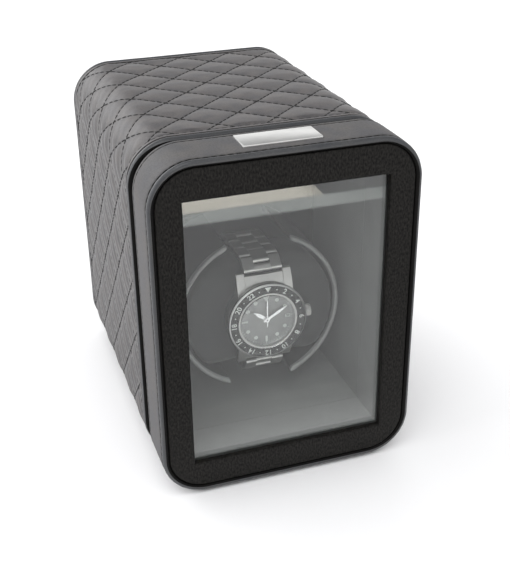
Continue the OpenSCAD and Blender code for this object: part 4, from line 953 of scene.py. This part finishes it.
def cushion_pad():
    """The pad on which the watch sits: the CAD form, drawn in and puffed up as cloth."""
    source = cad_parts["cushion"]
    low, high = node_box("cushion")
    middle = (low + high) / 2
    mesh = source.data.copy()
    made = bpy.data.objects.new("cushion_pad", mesh)
    bpy.context.scene.collection.objects.link(made)
    for vertex in mesh.vertices:
        for axis in range(3):
            half = (high[axis] - low[axis]) / 2
            reach = (vertex.co[axis] / MM - middle[axis]) * (half - PAD_INSET) / half
            vertex.co[axis] = (middle[axis] + reach) * MM
    mesh.materials.clear()
    mesh.materials.append(cushion_suede)
    mesh.update()
    remesh = made.modifiers.new("remesh", "REMESH")
    remesh.mode = "VOXEL"
    remesh.voxel_size = PAD_VOXEL
    apply_modifiers(made)
    rest = [v.co.copy() for v in made.data.vertices]
    cloth = made.modifiers.new("cloth", "CLOTH")
    cloth.settings.quality = 6
    cloth.settings.mass = 0.2
    cloth.settings.tension_stiffness = 25
    cloth.settings.use_pressure = True
    cloth.settings.uniform_pressure_force = 4
    cloth.settings.effector_weights.gravity = 0
    for step in range(1, PAD_STEPS + 1):
        bpy.context.scene.frame_set(step)
    apply_modifiers(made)
    bpy.context.scene.frame_set(1)
    for vertex, before in zip(made.data.vertices, rest):
        moved = vertex.co - before
        if moved.length > PAD_SWELL * MM:
            vertex.co = before + moved * (PAD_SWELL * MM / moved.length)
    made.data.shade_smooth()
    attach(made, "watch_cushion")
    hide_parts("cushion")


def apply_modifiers(target):
    """The object's mesh as its modifiers leave it."""
    graph = bpy.context.evaluated_depsgraph_get()
    mesh = bpy.data.meshes.new_from_object(target.evaluated_get(graph))
    old = target.data
    target.modifiers.clear()
    target.data = mesh
    bpy.data.meshes.remove(old)


cushion_pad()


# ---------------------------------------------------------------- stage, lights, camera


FLOOR_HALF = 3.0


def make_stage():
    """The white table."""
    reach = FLOOR_HALF
    mesh = bpy.data.meshes.new("floor")
    mesh.from_pydata([(-reach, -reach, 0), (reach, -reach, 0), (reach, reach, 0),
                      (-reach, reach, 0)], [], [(0, 1, 2, 3)])
    floor = bpy.data.objects.new("floor", mesh)
    bpy.context.scene.collection.objects.link(floor)
    made, _, shader = new_material("floor_white", roughness=0.3, specular=0.4)
    shader.inputs["Base Color"].default_value = (0.87, 0.87, 0.88, 1)
    mesh.materials.append(made)


def sun_light(name, direction, power, spread):
    """A sun that stands in a direction, with its spread in degrees."""
    lamp = bpy.data.lights.new(name, "SUN")
    lamp.energy = power
    lamp.angle = math.radians(spread)
    made = bpy.data.objects.new(name, lamp)
    made.rotation_euler = Vector(direction).to_track_quat("Z", "Y").to_euler()
    bpy.context.scene.collection.objects.link(made)


CARD_Z = 0.0005


def reflected_card(name, x0, x1, y0, y1, strength, colour, fade):
    """A bright card on the table, out of the camera's sight, for the window to reflect. Along one
    axis it fades between two places to another strength."""
    mesh = bpy.data.meshes.new(name)
    corners = [(x0, y0, CARD_Z), (x1, y0, CARD_Z), (x1, y1, CARD_Z), (x0, y1, CARD_Z)]
    mesh.from_pydata(corners, [], [(0, 1, 2, 3)])
    made = bpy.data.objects.new(name, mesh)
    bpy.context.scene.collection.objects.link(made)
    finish = bpy.data.materials.new(name)
    finish.use_nodes = True
    tree = finish.node_tree
    axis, start, stop, end_strength = fade
    coords = object_coordinates(tree)
    along = add_node(tree, "ShaderNodeSeparateXYZ", {"Vector": coords}).outputs[axis]
    inputs = {"Value": along, "From Min": start, "From Max": stop, "To Min": strength,
              "To Max": end_strength}
    power = add_node(tree, "ShaderNodeMapRange", inputs).outputs["Result"]
    glow = add_node(tree, "ShaderNodeEmission", {"Color": colour + (1,), "Strength": power})
    under = add_node(tree, "ShaderNodeNewGeometry").outputs["Backfacing"]
    clear = add_node(tree, "ShaderNodeBsdfTransparent")
    inputs = {0: under, 1: glow.outputs["Emission"], 2: clear.outputs["BSDF"]}
    mix = add_node(tree, "ShaderNodeMixShader", inputs)
    tree.links.new(mix.outputs["Shader"], tree.nodes["Material Output"].inputs["Surface"])
    mesh.materials.append(finish)
    made.visible_camera = False
    made.visible_diffuse = False
    made.visible_shadow = False


SKY = 0.95
SHINE_LOW = (0.15, 1.25)
SHINE_HIGH = (0.65, 0.3)


def make_lights():
    """The sky, which shiny surfaces see darker overhead, three suns and the cards."""
    world = bpy.data.worlds.new("studio")
    bpy.context.scene.world = world
    world.use_nodes = True
    sky = world.node_tree
    back = sky.nodes["Background"]
    back.inputs["Color"].default_value = (1, 1, 1, 1)
    towards = add_node(sky, "ShaderNodeTexCoord")
    height = add_node(sky, "ShaderNodeSeparateXYZ", {"Vector": towards.outputs["Generated"]})
    inputs = {"Value": height.outputs["Z"], "From Min": SHINE_LOW[0], "From Max": SHINE_HIGH[0],
              "To Min": SHINE_LOW[1], "To Max": SHINE_HIGH[1]}
    shine = add_node(sky, "ShaderNodeMapRange", inputs)
    path = add_node(sky, "ShaderNodeLightPath")
    inputs = {"Factor": path.outputs["Is Glossy Ray"], "A": SKY, "B": shine.outputs["Result"]}
    strength = add_node(sky, "ShaderNodeMix", inputs)
    sky.links.new(strength.outputs["Result"], back.inputs["Strength"])
    sun_light("key", (-1.0, 0.25, 0.46), 1.1, 55)
    sun_light("front", (-0.25, -0.55, 1.0), 1.1, 40)
    sun_light("behind", (-0.45, 0.8, 0.5), 0.9, 40)
    reflected_card("pale_card", -0.05, 0.159, -0.56, -0.4265, 5.6, (1.0, 0.96, 0.86),
                   ("X", 0.14, 0.159, 3.6))
    reflected_card("grey_card", -0.05, 0.32, -0.426, -0.402, 3.4, (0.96, 1.0, 0.98),
                   ("X", 0.15, 0.26, 1.2))
    reflected_card("low_card", -0.2, 0.3, -0.155, -0.1, 1.1, (1.0, 1.0, 1.0),
                   ("Y", -0.14, -0.112, 1.9))


CAMERA_AT = Vector((-144.5, -476.5, 319.8)) * MM
CAMERA_TARGET = Vector((12.588, -1, 65.35)) * MM
CAMERA_ROLL = math.radians(-0.8834)
CAMERA_LENS = 64.28


def make_camera():
    """The camera of the view from the front."""
    lens = bpy.data.cameras.new("camera")
    lens.lens = CAMERA_LENS
    lens.sensor_width = 36
    made = bpy.data.objects.new("camera", lens)
    look = (CAMERA_TARGET - CAMERA_AT).to_track_quat("-Z", "Y").to_matrix().to_4x4()
    roll = Matrix.Rotation(CAMERA_ROLL, 4, "Z")
    made.matrix_world = Matrix.Translation(CAMERA_AT) @ look @ roll
    bpy.context.scene.collection.objects.link(made)
    bpy.context.scene.camera = made


make_stage()
make_lights()
make_camera()
bpy.context.scene.view_settings.view_transform = "Standard"
